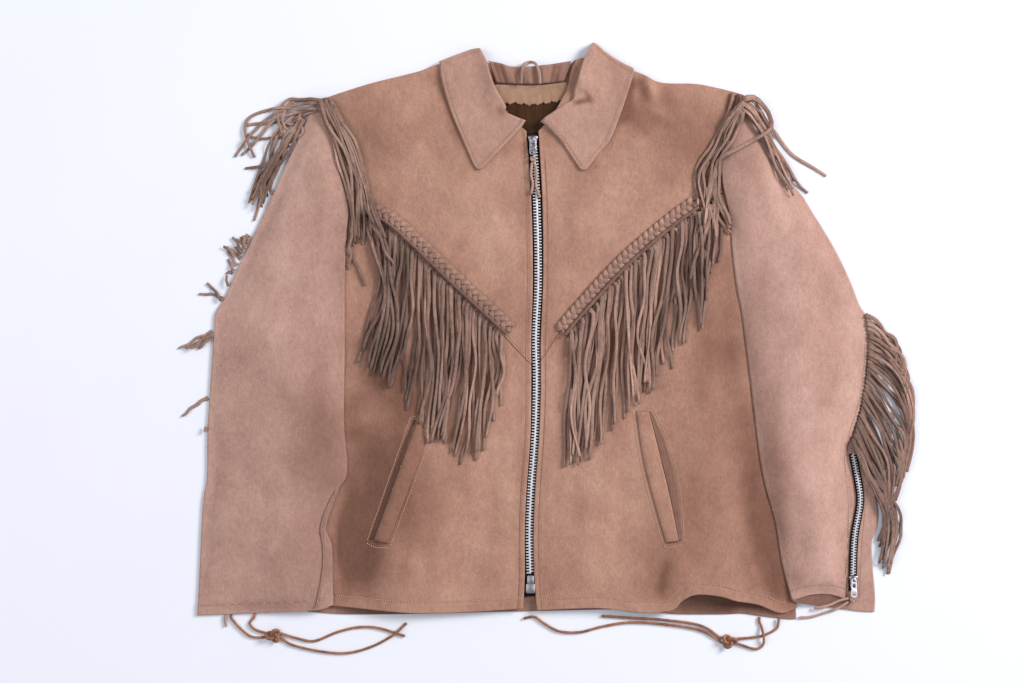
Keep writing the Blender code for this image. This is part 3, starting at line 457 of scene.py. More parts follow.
BODY_SUEDE = suede("body_suede", (127, 87, 72), (168, 125, 107), (199, 158, 139))
SLEEVE_SUEDE = suede("sleeve_suede", (136, 98, 87), (175, 136, 123), (205, 167, 155), brush=-0.5)
COLLAR_SUEDE = suede("collar_suede", (134, 97, 82), (171, 132, 117), (200, 162, 147), brush=1.2)
# Darker than the outer suede: partly the hide's inner side, and partly painted shade for where it is
# seen, under the fronts' hem and inside the pocket slits.
INNER_SUEDE_IN_SHADE = suede("inner_suede_in_shade", (96, 66, 54), (146, 110, 95), (172, 134, 118), brush=0.2)
# The fringe's near-black darkest colour is painted shade: the ribbons' cut sides and shaded places run
# toward it.
FRINGE_SUEDE = suede("fringe_suede", (48, 30, 24), (156, 121, 107), (196, 159, 144), seams=False,
                     strands=True)
FACING_SUEDE = suede("facing_suede", (114, 82, 62), (156, 120, 98), (184, 148, 122), brush=0.9)
print("suedes made")

# %% [markdown]
# ## A panel of cloth
# A cut panel is a thin shell. Its grid is close along the edges, where the hem is turned, the
# stitches pull a groove and the edge is rounded, and wider in the middle. The heights come from the
# solid model's smoothed top, plus listed creases and a slow unevenness. The top and the
# underside share the ring of points round the edge, so the shell is closed.

# %% The panel maker
EDGE_STEPS = np.array([0, 0.5, 1.2, 2.2, 4.0, 6.0, 7.8, 9.6, 11.6, 13.4, 15.4])
FAR_FROM_SEAM = 9.0
SWELL_SIZES = (115, 71, 43, 27)


def close_at_ends(length, step):
    """Shares of a length: a few close ones at each end, and even steps between."""
    near = EDGE_STEPS / length
    count = max(2, round((length - 2 * EDGE_STEPS[-1]) / step))
    middle = np.linspace(near[-1], 1 - near[-1], count + 1)
    return np.concatenate([near[:-1], middle, 1 - near[:-1][::-1]])


def run_from(points, axis):
    """How far each grid point is from its row's or column's first point, along the grid."""
    steps = np.linalg.norm(np.diff(points, axis=axis), axis=-1)
    pad = [(0, 0), (0, 0)]
    pad[axis] = (1, 0)
    return np.cumsum(np.pad(steps, pad), axis=axis)


def edge_distances(grid):
    """How far each point is from each side of its grid, along its own row or column."""
    return {"low": run_from(grid, 0), "top": run_from(grid[::-1], 0)[::-1],
            "left": run_from(grid, 1), "right": run_from(grid[:, ::-1], 1)[:, ::-1]}


def creases(x, y, table):
    """The sum of soft ridges (or troughs, below 0). Each row is a line's two ends, its half width
    and its height: height x exp(-(away/half width)^2) x (1 - run^3), where run is 0 at the line's
    middle and 1 at its ends."""
    total = np.zeros(np.shape(x))
    for x0, y0, x1, y1, half, height in table:
        run = np.array([x1 - x0, y1 - y0], float)
        share = ((x - x0) * run[0] + (y - y0) * run[1]) / (run @ run)
        away = np.abs((x - x0) * run[1] - (y - y0) * run[0]) / np.linalg.norm(run)
        fade = np.clip(1 - np.abs(2 * share - 1) ** 3, 0, 1)
        total += height * np.exp(-((away / half) ** 2)) * fade
    return total


def unevenness(x, y, seed, height):
    """A slow, uneven swell: waves of a few sizes, each crossing at its own angle, bent by another."""
    rng = np.random.default_rng(seed)
    total = np.zeros(np.shape(x))
    for size in SWELL_SIZES:
        for _ in range(3):
            angle, phase, bend = rng.uniform(0, 2 * np.pi, 3)
            along_wave = (x * np.cos(angle) + y * np.sin(angle)) / size
            across_wave = (y * np.cos(angle) - x * np.sin(angle)) / size
            total += (size / SWELL_SIZES[0]) ** 0.8 * np.sin(2 * np.pi * along_wave + phase
                                                             + 1.3 * np.sin(1.7 * across_wave + bend))
    return height * total / 2.2


def shell(name, grid, top, thick, look, seam=None, edge=None, painted_shade_and_light=None):
    """A closed shell from a grid of places and its top heights. Within half the thickness of the
    edge the two faces close on each other as a circle does: sqrt(1 - (1 - distance)^2)."""
    rows, columns = grid.shape[:2]
    near = np.minimum.reduce(list(edge_distances(grid).values()))
    edge = near if edge is None else edge
    half = thick / 2
    rim = np.sqrt(1 - (1 - np.clip(near / half, 0, 1)) ** 2)
    middle = top - half
    upper = np.dstack([grid, middle + half * rim]).reshape(-1, 3)
    inside = np.zeros((rows, columns), bool)
    inside[1:-1, 1:-1] = True
    lower = np.dstack([grid, middle - half * rim])[inside]
    index = np.arange(rows * columns).reshape(rows, columns)
    under = index.copy()
    under[inside] = rows * columns + np.arange(inside.sum())
    faces = np.vstack([quads_of(index), quads_of(under)[:, ::-1]])
    values = {"edge": np.concatenate([edge.ravel(), edge[inside]])}
    for label, numbers, plain in (("seam", seam, FAR_FROM_SEAM), ("painted_shade_and_light", painted_shade_and_light, 1.0)):
        numbers = np.full((rows, columns), plain) if numbers is None else numbers
        values[label] = np.concatenate([numbers.ravel(), np.full(inside.sum(), plain)])
    a, b, c = upper[index[0, 0]], upper[index[0, 1]], upper[index[1, 0]]
    if np.cross((b - a)[:2], (c - a)[:2]) < 0:
        faces = faces[:, ::-1]
    piece = add_piece(name, np.vstack([upper, lower]), faces, look, values=values)
    raise_ground(np.dstack([grid, top]))
    return piece


def panel(name, edges, solid, thick, look, step=4.2, stitched=None, table=(), seed=0, swell=0.55,
          turned=0.45, level=None, painted_stripes=(), over=0):
    """A cut panel: four edges (low, right, top, left), the solid that it dresses and follows unless
    it has a level of its own, and the distance of the stitched line from each edge that has one.
    One that lies over others clears their tops, and rolls down to them within the distance over."""
    low, right, top, left = (length_of(edge) for edge in edges)
    grid = blend_edges(edges, close_at_ends((low + top) / 2, step),
                       close_at_ends((left + right) / 2, step))
    x, y = grid[..., 0], grid[..., 1]
    away = edge_distances(grid)
    nearest = np.minimum.reduce(list(away.values()))
    form = read_map(solid_top(solid, 14), x, y) if level is None else level
    calm = soft_step(nearest / 26)
    height = form + creases(x, y, table) + calm * unevenness(x, y, seed, swell)
    seam = np.full(x.shape, FAR_FROM_SEAM)
    for side, offset in (stitched or {}).items():
        from_line = np.abs(away[side] - offset)
        seam = np.minimum(seam, from_line)
        run = x if side in ("low", "top") else y
        pucker = 0.16 * np.sin(run / 2.3 + 2 * np.sin(run / 31.0)) * np.exp(-((from_line / 5) ** 2))
        height = height + turned * soft_step((offset + 0.8 - away[side]) / 1.6) + pucker
    height = height - 0.5 * np.exp(-((seam / 1.3) ** 2))
    height = np.maximum(height, thick + 0.1)
    if over:
        lowest = read_map(covered(3), x, y) + thick + 0.1
        height = lowest + (np.maximum(height, lowest) - lowest) * soft_step(nearest / over)
    # Painted shade and light: the listed stripes make the colour darker or lighter, never darker than
    # 0.45.
    painted_shade_and_light = np.maximum(1 + creases(x, y, painted_stripes), 0.45)
    return dress(shell(name, grid, height, thick, look, seam=seam, edge=nearest, painted_shade_and_light=painted_shade_and_light),
                 solid)


def covered(reach):
    """The map's highest value within the reach, smoothed, as a cover over all that lies there."""
    high = ground
    for axis in (0, 1):
        pad = [(0, 0), (0, 0)]
        pad[axis] = (reach, reach)
        window = np.lib.stride_tricks.sliding_window_view(np.pad(high, pad), 2 * reach + 1, axis=axis)
        high = window.max(axis=-1)
    return smooth_map(high, high > 0, reach)


def stretch_of(edge):
    """An edge's length in metres, for printing."""
    return round(length_of(edge) * MM, 3)


print("panel maker ready")

# %% [markdown]
# ## Stitches
# Topstitching is a row of short bars of thread, each sunk a little at both ends. One bar is a tiny
# ellipsoid of a few dozen faces, and arrays copy it along a line, so thousands of stitches cost no
# time and make one mesh for each area.

# %% Copies along a line
def ball(around=6, rings=3):
    """Points and faces of a unit ball: rings of points between two poles."""
    tilt = np.pi * np.arange(1, rings + 1) / (rings + 1)
    turn = 2 * np.pi * np.arange(around) / around
    body = np.stack([np.cos(tilt)[:, None] * np.ones(around), np.sin(tilt)[:, None] * np.cos(turn),
                     np.sin(tilt)[:, None] * np.sin(turn)], axis=-1).reshape(-1, 3)
    points = np.vstack([body, [[1, 0, 0], [-1, 0, 0]]])
    k = np.arange(around)
    m = (k + 1) % around
    first, last = len(body), len(body) + 1
    faces = [(first, a, b) for a, b in zip(k, m)]
    for ring in range(rings - 1):
        a = ring * around
        faces += [(a + p, a + around + p, a + around + q, a + q) for p, q in zip(k, m)]
    a = (rings - 1) * around
    faces += [(last, a + q, a + p) for p, q in zip(k, m)]
    return points, [tuple(int(c) for c in face) for face in faces]


def copies(points, faces, places, ahead, size):
    """One small mesh set at many places: its x axis along each direction, z up."""
    side = np.stack([-ahead[:, 1], ahead[:, 0], np.zeros(len(ahead))], axis=-1)
    side /= np.maximum(np.linalg.norm(side, axis=1, keepdims=True), 1e-9)
    up = np.cross(ahead, side)
    scaled = points[None] * size
    all_points = (places[:, None] + scaled[..., 0:1] * ahead[:, None]
                  + scaled[..., 1:2] * side[:, None] + scaled[..., 2:3] * up[:, None])
    shift = (np.arange(len(places)) * len(points))[:, None]
    all_faces = []
    for count in sorted({len(face) for face in faces}):
        group = np.array([face for face in faces if len(face) == count])
        all_faces += (group[None] + shift[..., None]).reshape(-1, count).tolist()
    return all_points.reshape(-1, 3), all_faces


def beside_line(route, offset, trim=(0.0, 1.0)):
    """The line at a distance to the left of a route, between two shares of its length."""
    line = along(route, np.linspace(*trim, 80))
    return line + offset * left_of(directions(line))


def thread(name, dark, light, hole):
    """Twisted thread, and the needle holes beside it where the stored tone is 0, whose dark colour is
    painted shade in the holes.
    """
    look, tree, shader, place = new_look(name, 0.75, sheen=0.1)
    ply = noise_at(tree, place, 900)
    colour = blend_colours(tree, ply, shade(dark), shade(light))
    colour = blend_colours(tree, stored(tree, "tone"), shade(hole), colour)
    surface(tree, shader, colour, ply, 0.4, 0.0002)
    return look


# The third colour of each thread is painted shade in its needle holes.
PALE_THREAD = thread("pale_thread", (180, 142, 121), (220, 184, 163), (104, 70, 55))
BROWN_THREAD = thread("brown_thread", (150, 104, 84), (186, 144, 122), (118, 80, 64))
STITCH = np.array([1.0, 0.56, 0.46])
NEEDLE_HOLE = np.array([0.62, 0.56, 0.34])
STITCH_PITCH = 2.9


def sew(name, lines, look=PALE_THREAD, pitch=STITCH_PITCH):
    """Rows of stitches on what lies under them, with a needle hole between each two, as one mesh."""
    parts, tones = [], []
    for first, size, lift, tone in ((0.5, STITCH, 0.14, 1.0), (0.0, NEEDLE_HOLE, -0.04, 0.0)):
        counts = [max(2, round(length_of(line) / pitch)) for line in lines]
        rows = [along(line, (np.arange(count) + first) / count) for line, count in zip(lines, counts)]
        spots, runs = np.vstack(rows), np.vstack([directions(row) for row in rows])
        level = read_map(ground, *spots.T)
        spots, runs, level = spots[level > 1], runs[level > 1], level[level > 1]
        ahead = np.column_stack([runs, (read_map(ground, *(spots + runs).T) - level) * 0.8])
        ahead /= np.linalg.norm(ahead, axis=1, keepdims=True)
        points, faces = copies(*ball(), np.column_stack([spots, level + lift]), ahead,
                               size * pitch / STITCH_PITCH)
        parts.append((points, faces))
        tones.append(np.full(len(points), tone))
    piece = add_piece(name, *joined(parts), look, values={"tone": np.concatenate(tones)})
    print(name, len(spots), "stitches")


print("stitches ready")

# %% [markdown]
# ## Painted shade and light
# Each row is a soft stripe of painted shade on the cloth, or of painted highlight where its amount is
# above 0: shade beside the sleeves, under the collar's leaves, under the fringe and at the hem, and
# light on the tops of folds. A row gives its two ends, its half width and how much darker or lighter
# it is. The rows are listed one by one.

# %% Stripes of painted shade and light
FRONT_PAINTED_SHADE_AND_LIGHT = [
    (275, 79, 275, 20, 16, -0.1), (-231, 129, -231, 46, 11, -0.16),
    (-210, 238, -210, 179, 15, -0.12), (249, 645, 243, 618, 3, -0.5),
    (197, 647, 195, 554, 40, -0.06), (237, 563, 241, 464, 7, -0.5), (253, 627, 232, 558, 5, -0.45),
    (252, 466, 267, 345, 4, 0.28), (-190, 257, -212, 12, 24, -0.5),
    (-167, 232, -192, 83, 16, -0.24), (-222, 232, -234, 0, 15, -0.34),
    (-197, 365, -157, 269, 15, -0.42), (-162, 288, -68, 186, 10, -0.22),
    (-138, 57, -187, 40, 22, -0.14), (172, 74, 154, 10, 8, -0.2), (86, 33, 197, 25, 16, -0.08),
    (-255, 640, -148, 565, 34, -0.2), (-162, 613, -86, 553, 22, -0.12),
    (135, 650, 210, 548, 46, -0.22), (237, 635, 197, 523, 22, -0.14),
    (128, 670, 103, 598, 8, -0.55), (-112, 677, -83, 565, 9, -0.44),
    (-128, 672, -113, 655, 8, -0.18), (-81, 573, -63, 546, 7, -0.25), (53, 560, 88, 551, 7, -0.25),
    (86, 573, 105, 610, 9, -0.25), (-42, 560, -14, 590, 8, -0.1), (36, 573, 11, 600, 8, -0.12),
    (-172, 449, -133, 387, 24, -0.45), (-133, 387, -100, 288, 22, -0.42),
    (-98, 350, -71, 250, 18, -0.4), (-66, 331, -48, 263, 12, -0.3), (55, 331, 61, 238, 14, -0.4),
    (100, 387, 98, 263, 20, -0.42), (148, 424, 148, 312, 22, -0.42),
    (195, 467, 192, 350, 20, -0.42), (-14, 0, -9, 560, 6, -0.1), (19, 0, 21, 560, 6, -0.08),
    (-76, 176, -38, 64, 40, 0.04), (86, 176, 73, 64, 30, 0.05), (-63, 511, -38, 399, 24, 0.05),
    (67, 523, 135, 511, 14, 0.09), (-286, 511, -237, 548, 20, 0.05),
    (122, 665, 110, 600, 15, -0.36), (134, 667, 146, 629, 6, -0.34), (150, 660, 159, 627, 6, 0.1),
    (167, 655, 176, 618, 10, -0.12), (148, 611, 177, 604, 6, -0.1), (144, 622, 170, 616, 4, 0.13),
    (53, 687, 42, 640, 7, -0.42), (311, 74, 337, -5, 17, -0.4), (274, 182, 294, 52, 20, -0.26),
    (217, 387, 212, 244, 20, -0.3), (244, 343, 254, 260, 19, -0.22), (177, 263, 180, 12, 30, -0.2),
    (148, 112, 150, 10, 20, -0.18), (110, 263, 113, 176, 15, -0.14),
    (-157, 288, -155, 64, 20, -0.22), (-124, 213, -125, 15, 17, -0.14),
    (-91, 263, -86, 186, 17, -0.3), (-229, 83, -229, 9, 12, -0.12),
    (-197, 343, -190, 244, 22, -0.4), (-162, 331, -153, 244, 20, -0.3),
    (170, 67, 159, 15, 7, -0.16), (286, 87, 304, 12, 12, -0.22), (237, 474, 262, 263, 25, -0.3),
    (262, 281, 286, 133, 27, -0.42), (279, 157, 316, -4, 27, -0.5), (228, 288, 217, 15, 37, -0.2),
    (-186, 381, -177, 322, 15, -0.4), (-195, 145, -205, 10, 20, -0.28),
    (-222, 281, -222, 207, 15, -0.28), (-224, 139, -229, 50, 15, -0.22),
    (-157, 269, -153, 64, 22, -0.22), (-165, 273, -148, 232, 17, -0.3),
    (126, 637, 138, 585, 20, -0.22),
]
SLEEVE_PAINTED_SHADE_AND_LIGHT = [
    (-305, 213, -305, 9, 50, -0.03), (304, 42, 376, 40, 19, -0.14), (-272, 582, -311, 508, 10, 0.1),
    (-279, 600, -316, 513, 11, 0.14), (249, 471, 267, 345, 3, 0.16), (301, 560, 337, 337, 20, 0.14),
    (334, 362, 351, 139, 18, 0.14), (348, 213, 376, 10, 18, 0.16), (396, 387, 391, 201, 16, 0.1),
    (262, 424, 296, 201, 18, -0.16), (291, 238, 311, 64, 17, -0.14),
    (316, 312, 341, 250, 12, -0.08), (-232, 288, -239, 15, 22, -0.16),
    (-299, 139, -272, 15, 36, -0.1), (-299, 598, -321, 424, 28, 0.1),
    (-396, 424, -408, 15, 14, 0.1), (-361, 498, -334, 263, 36, 0.05),
    (-405, 7, -249, 12, 14, -0.08), (-234, 498, -232, 300, 14, -0.1),
    (-286, 300, -254, 139, 26, -0.07), (381, 114, 391, 15, 12, -0.06),
    (259, 598, 284, 511, 12, -0.06), (294, 263, 319, 64, 17, -0.2), (-258, 288, -254, 0, 22, -0.12),
    (381, 288, 378, 176, 17, 0.12), (-264, 356, -259, 133, 27, -0.22),
    (-291, 281, -289, 126, 20, -0.14),
]
UNDER_SLEEVE_PAINTED_SHADE = [(318, 15, 402, 12, 9, -0.8)]
BACK_HEM_PAINTED_SHADE = [
    (185, 15, 334, 5, 12, -0.58), (170, 5, 255, 4, 9, -0.45), (-243, 0, -131, -5, 8, -0.4),
]
COLLAR_PAINTED_SHADE_AND_LIGHT = [
    (-76, 697, -76, 598, 17, 0.06), (-57, 694, -41, 645, 8, -0.14), (-42, 625, -29, 615, 5, -0.3),
    (-76, 622, -48, 585, 12, -0.06), (-100, 684, -66, 697, 9, 0.05), (53, 636, 73, 644, 3.2, 0.12),
    (51, 630, 76, 635, 3.4, -0.6), (64, 648, 77, 630, 3, -0.5), (57, 684, 52, 645, 6, -0.2),
    (123, 665, 100, 610, 7, -0.1), (81, 684, 93, 622, 10, 0.04), (17, 613, 61, 560, 6, 0.05),
]
print(len(FRONT_PAINTED_SHADE_AND_LIGHT) + len(SLEEVE_PAINTED_SHADE_AND_LIGHT) + len(COLLAR_PAINTED_SHADE_AND_LIGHT), "stripes")

# %% [markdown]
# ## The back
# The whole back panel lies on the table, hidden but for its hem, which shows below the fronts. It is
# one cut piece from side seam to side seam. Its inner face, seen at the hem, is darker: partly the
# hide's inner side, and partly painted shade from the fronts that lie over it.

# %% The back panel
SHOULDER_R = [(-253, 639), (-219, 650), (-191, 658), (-139, 671), (-114, 680), (-61, 687)]
SHOULDER_L = [(61, 687), (129, 671), (160, 657), (203, 655.5), (229, 651), (250, 646), (264, 642)]
ARMHOLE_R = [(-269, 517), (-267, 573), (-253, 639)]
ARMHOLE_L = [(285, 523), (280, 573), (264, 642)]
SIDE_R = [(-278, 7), (-279, 201), (-274, 387), (-269, 517)]
SIDE_L = [(330, 4), (319, 201), (303, 362), (285, 523)]
NECK_BACK = [(-61, 687), (-38, 665), (-1, 660), (36, 665), (61, 687)]
HEM_BACK = [(-278, -1), (-227, -4), (-138, -3.5), (-38, -1), (52, 1), (100, 2), (135, 1), (160, -2),
            (185, -4), (240, -4), (262, -3), (284, -6), (318, -10), (330, -10)]
back_edges = (HEM_BACK, SIDE_L + ARMHOLE_L[1:], SHOULDER_R + NECK_BACK[1:] + SHOULDER_L[1:],
              SIDE_R + ARMHOLE_R[1:])
back = panel("back_panel", back_edges, "back", 1.7, INNER_SUEDE_IN_SHADE, step=6.5, stitched={"low": 12},
             turned=0.0, swell=0.0, level=1.9, painted_stripes=BACK_HEM_PAINTED_SHADE)
print("back hem", stretch_of(HEM_BACK), "m")

# %% [markdown]
# ## The fronts
# Each front is a yoke above and a lower panel below, joined in a pointed seam. The lower panel goes
# in first, and the yoke is turned under and stitched on it. The creases are those of a soft hide
# that was worn and then smoothed out by hand: long and shallow, and uneven.

# %% The four front panels
NECK_R = [(-61, 687), (-42, 641), (-24, 613), (-5.7, 596)]
ZIP_EDGE_R = [(0.3, 306), (0.3, 340), (2.3, 417), (0.3, 511), (-5.7, 596)]
YOKE_SEAM_R = [(-269, 517), (-231, 511), (-197, 501), (-162, 481), (-94, 412), (-31, 339),
               (0.3, 306)]
ZIP_EDGE_LOW_R = [(-9.7, 4), (-7.7, 45), (-7.7, 97), (-5.7, 149), (-0.7, 218), (0.3, 275),
                  (0.3, 306)]
HEM_R = [(-278, 7), (-244, 7), (-187, 2), (-138, -1), (-76, 0), (-9.7, 4)]
NECK_L = [(9, 596), (26, 616), (43, 645), (61, 687)]
ZIP_EDGE_L = [(12, 311), (12, 340), (15, 417), (14, 511), (9, 596)]
YOKE_SEAM_L = [(12, 311), (35, 346), (56, 373), (105, 427), (135, 455), (172, 486), (207, 512),
               (247, 520), (285, 523)]
ZIP_EDGE_LOW_L = [(7, 2), (4, 45), (3, 97), (5, 149), (10, 218), (12, 275), (12, 311)]
HEM_L = [(7, 2), (83, 5), (135, -1), (174, 2), (187, 14), (205, 22), (234, 20), (254, 14), (281, 9),
         (310, -2), (330, 4)]
BODY_FORM = [
    (-160, -110, -168, 430, 40, 6.0), (-100, -110, -92, 400, 58, 3.2), (90, -110, 96, 420, 62, 3.4),
    (176, -110, 190, 430, 40, 4.4), (-190, 690, -150, 500, 48, 3.0), (-80, 640, -70, 420, 44, 1.8),
    (170, 690, 140, 500, 50, 3.0), (80, 640, 80, 420, 44, 1.8),
]
LOWER_CREASES_R = [
    (-230, 60, -205, 200, 9, 1.3), (-215, 120, -190, 300, 12, -1.2), (-120, 30, -95, 150, 14, 1.2),
    (-60, 40, -48, 190, 10, -0.9), (-90, 150, -70, 260, 12, 0.9), (-170, 30, -150, 110, 10, -0.9),
    (-248, 280, -225, 420, 9, 1.0), (-30, 120, -26, 240, 7, 0.8), (-160, 250, -120, 180, 11, 0.8),
]
LOWER_CREASES_L = [
    (60, 30, 72, 160, 12, 1.2), (100, 40, 120, 190, 11, -1.1), (36, 90, 40, 220, 8, 0.8),
    (210, 60, 214, 240, 12, 1.6), (262, 60, 256, 230, 12, -1.3), (190, 170, 230, 320, 12, 1.0),
    (120, 250, 90, 160, 10, 0.8), (290, 60, 284, 180, 8, 1.0), (148, 30, 140, 70, 8, -0.7),
    (170, 68, 158, 10, 7, -1.6), (184, 70, 180, 18, 8, 1.6), (286, 88, 304, 12, 9, -1.6),
    (268, 80, 280, 14, 9, 1.4),
]
YOKE_CREASES_R = [
    (-210, 600, -120, 560, 13, 1.5), (-240, 570, -170, 540, 11, -1.1),
    (-120, 640, -80, 560, 12, 1.0), (-60, 520, -25, 420, 10, 0.9), (-110, 500, -50, 480, 9, -0.8),
    (-180, 640, -150, 600, 10, 0.9), (-46, 560, -20, 500, 8, 0.7),
]
YOKE_CREASES_L = [
    (90, 620, 150, 560, 12, 1.3), (120, 560, 190, 540, 11, 1.2), (60, 500, 110, 470, 10, -0.8),
    (200, 620, 170, 580, 12, 1.0), (45, 540, 60, 440, 9, 0.9), (150, 640, 190, 610, 9, -0.8),
    (30, 500, 34, 400, 7, 0.7), (141, 671, 152, 634, 6, 2.4), (128, 660, 138, 622, 6, -1.4),
    (138, 626, 170, 616, 6, 1.6),
]
HEM_STITCH, ZIP_STITCH, YOKE_STITCH = 13.5, 6.4, 4.0
YOKE_LOW_R, YOKE_LOW_L = ([(x, y + 0.5) for x, y in seam] for seam in (YOKE_SEAM_R, YOKE_SEAM_L))
FRONTS = (
    # name, solid, its four edges, stitched lines, creases, seed
    ("front_lower_right", "front_lower_r", (HEM_R, ZIP_EDGE_LOW_R, YOKE_SEAM_R, SIDE_R),
     {"low": HEM_STITCH, "right": ZIP_STITCH}, LOWER_CREASES_R, 3),
    ("front_lower_left", "front_lower_l", (HEM_L, SIDE_L, YOKE_SEAM_L, ZIP_EDGE_LOW_L),
     {"low": HEM_STITCH, "left": ZIP_STITCH}, LOWER_CREASES_L, 4),
    ("front_yoke_right", "front_yoke_r",
     (YOKE_LOW_R, ZIP_EDGE_R, SHOULDER_R + NECK_R[1:], ARMHOLE_R),
     {"low": YOKE_STITCH, "right": ZIP_STITCH}, YOKE_CREASES_R, 5),
    ("front_yoke_left", "front_yoke_l",
     (YOKE_LOW_L, ARMHOLE_L, NECK_L + SHOULDER_L[1:], ZIP_EDGE_L),
     {"low": YOKE_STITCH, "left": ZIP_STITCH}, YOKE_CREASES_L, 6),
)
for name, solid, edges, stitched, table, seed in FRONTS:
    panel(name, edges, solid, 1.8, BODY_SUEDE, stitched=stitched,
                         table=BODY_FORM + table, seed=seed, painted_stripes=FRONT_PAINTED_SHADE_AND_LIGHT)

# %% [markdown]
# ## Inside the neck
# Between the collar's points a little of the inside shows: a triangle of satin lining, a suede facing
# sewn over it with a puckered edge, and the gathered collar stand. The gathers are many small soft
# pleats, so the stand is a grid whose height is a wave along it, uneven in depth.

# %% Lining, facing and stand
STAND_TOP = [(-53, 683), (-38, 680), (-24, 676), (-1, 676), (33, 680), (50, 683)]
STAND_LOW = [(-43, 656), (-20, 655), (11, 655), (41, 658)]
FACING_TOP = [(-45, 655), (-20, 654), (11, 654), (45, 658)]
FACING_LOW = [(-50, 632), (-33, 630), (-20, 631), (-1, 629), (17, 631), (38, 634), (52, 636)]
FACING_HEM = along(FACING_LOW, np.linspace(0, 1, 70))
FACING_HEM[:, 1] += (1.1 * np.sin(0.55 * FACING_HEM[:, 0])
                     + 0.6 * np.sin(1.27 * FACING_HEM[:, 0] + 1))
LINING_EDGES = four_edges(left=[(-40, 582), (-45, 642)], right=[(42, 582), (48, 642)])
STAND_EDGES = four_edges(low=STAND_LOW, top=STAND_TOP)
STAND_FOOT = 6.6
STAND_CLIMB = 6.0

SATIN, satin_tree, satin_shader, satin_place = new_look("brown_satin", 0.5)
satin_shader.inputs["Specular IOR Level"].default_value = 0.12
# The satin's colour runs from near black to brown in long streaks and patches: painted sheen and shade
# of its folds, while its own shine is kept low.
satin_sheen_streaks = noise_at(satin_tree, satin_place, 260, (1, 0.06, 1))
satin_patches = noise_at(satin_tree, satin_place, 40)
satin_share = weigh(satin_tree, ((satin_sheen_streaks, 0.8), (satin_patches, 1.2)))
satin_painted_sheen = blend_colours(satin_tree, satin_share, shade((18, 9, 5)), shade((86, 55, 31)))
surface(satin_tree, satin_shader, satin_painted_sheen, satin_share, 0.35, 0.0006)


def neck_strip(name, edges, counts, height, thick, look, solid, tone=None):
    """A strip inside the neck whose top height, and whose painted shade where it has one, is a
    function of its shares across and up."""
    u, v = (np.linspace(0, 1, count) for count in counts)
    across, up = u[None, :], v[:, None]
    made = shell(name, blend_edges(edges, u, v), height(across, up), thick, look,
                 painted_shade_and_light=tone and tone(across, up))
    return dress(made, solid)


def lining_height(u, v):
    """Satin lies in shallow vertical folds: a wave across, deeper in the middle."""
    return 3.2 + 0.4 * np.sin(2 * np.pi * (2.6 * u + 0.2 * np.sin(4 * v))) * np.sin(np.pi * u) + 0 * v


def facing_height(u, v):
    """A flat strip that puckers towards its sewn edge at v = 0."""
    pucker = np.sin(2 * np.pi * 9 * u + 2 * np.sin(11 * u)) * (1 - v) ** 2
    return 4.7 + 0.35 * pucker + 0.25 * np.sin(7 * u + 2 * v)


def stand_height(u, v):
    """The stand climbs from its seam to its fold; its pleats are waves along it, of uneven depth."""
    wide = 1.0 * (1 - 0.4 * v) * np.sin(2 * np.pi * 4.3 * u + 1 + 2 * v)
    pleats = np.sin(2 * np.pi * 11 * u + 1.5 * np.sin(9 * u)) * (0.5 + 0.35 * np.sin(17 * u))
    return STAND_FOOT + STAND_CLIMB * v + wide + 0.6 * pleats * (1 - 0.5 * v)


def stand_painted_shade(u, v):
    """Painted shade: dark in the neck's shade, darker at both ends and at the foot; painted highlight
    on the pleats' tops.
    """
    return (0.60 + 0.08 * np.sin(2 * np.pi * 4.3 * u + 1) + 0.14 * v
            - 0.2 * np.exp(-(u / 0.1) ** 2) - 0.12 * np.exp(-((1 - u) / 0.1) ** 2))


lining = neck_strip("neck_lining_satin", LINING_EDGES, (44, 30), lining_height, 0.8, SATIN,
                    "neck_lining")
facing = neck_strip("neck_facing_suede", four_edges(low=FACING_HEM, top=FACING_TOP), (110, 16),
                    facing_height, 1.1, FACING_SUEDE, "neck_facing")
stand = neck_strip("gathered_stand", STAND_EDGES, (200, 16), stand_height, 1.7, COLLAR_SUEDE,
                   "collar_stand", stand_painted_shade)
print("stand", stretch_of(STAND_TOP), "m along its fold")

# %% [markdown]
# ## The zip
# A zip is two woven tapes with a row of metal teeth on each, one row half a step past the other, so
# that they mesh. A tooth is a small hook-shaped casting: here a bevelled bar with a raised tip. Both
# rows are one small mesh copied along the zip's line, turned about for the second row.

# %% Tapes and teeth
ZIP_LINE = [(-1, 47.5), (-2, 97), (0, 149), (5, 218), (7, 288), (6, 340), (9, 417), (7, 511),
            (2, 594)]
CUFF_ZIP_LINE = [(400, 45), (402, 92), (409, 134), (407, 159), (400, 196)]
CUFF_TAPE_END = (400, 25)

TAPE, tape_tree, tape_shader, tape_place = new_look("woven_tape", 0.85)
tape_shader.inputs["Specular IOR Level"].default_value = 0.15
tape_rib = add_node(tape_tree, "TexWave", {"Vector": tape_place, "Scale": 300.0, "Distortion": 2.0,
                                           "Detail": 1.0}, bands_direction="Y").outputs["Fac"]
tape_lint = noise_at(tape_tree, tape_place, 120)
tape_share = weigh(tape_tree, ((tape_rib, 0.5), (tape_lint, 0.9)))
tape_colour = blend_colours(tape_tree, tape_share, shade((14, 10, 12)), shade((50, 38, 38)))
surface(tape_tree, tape_shader, tape_colour, tape_rib, 0.5, 0.0003)


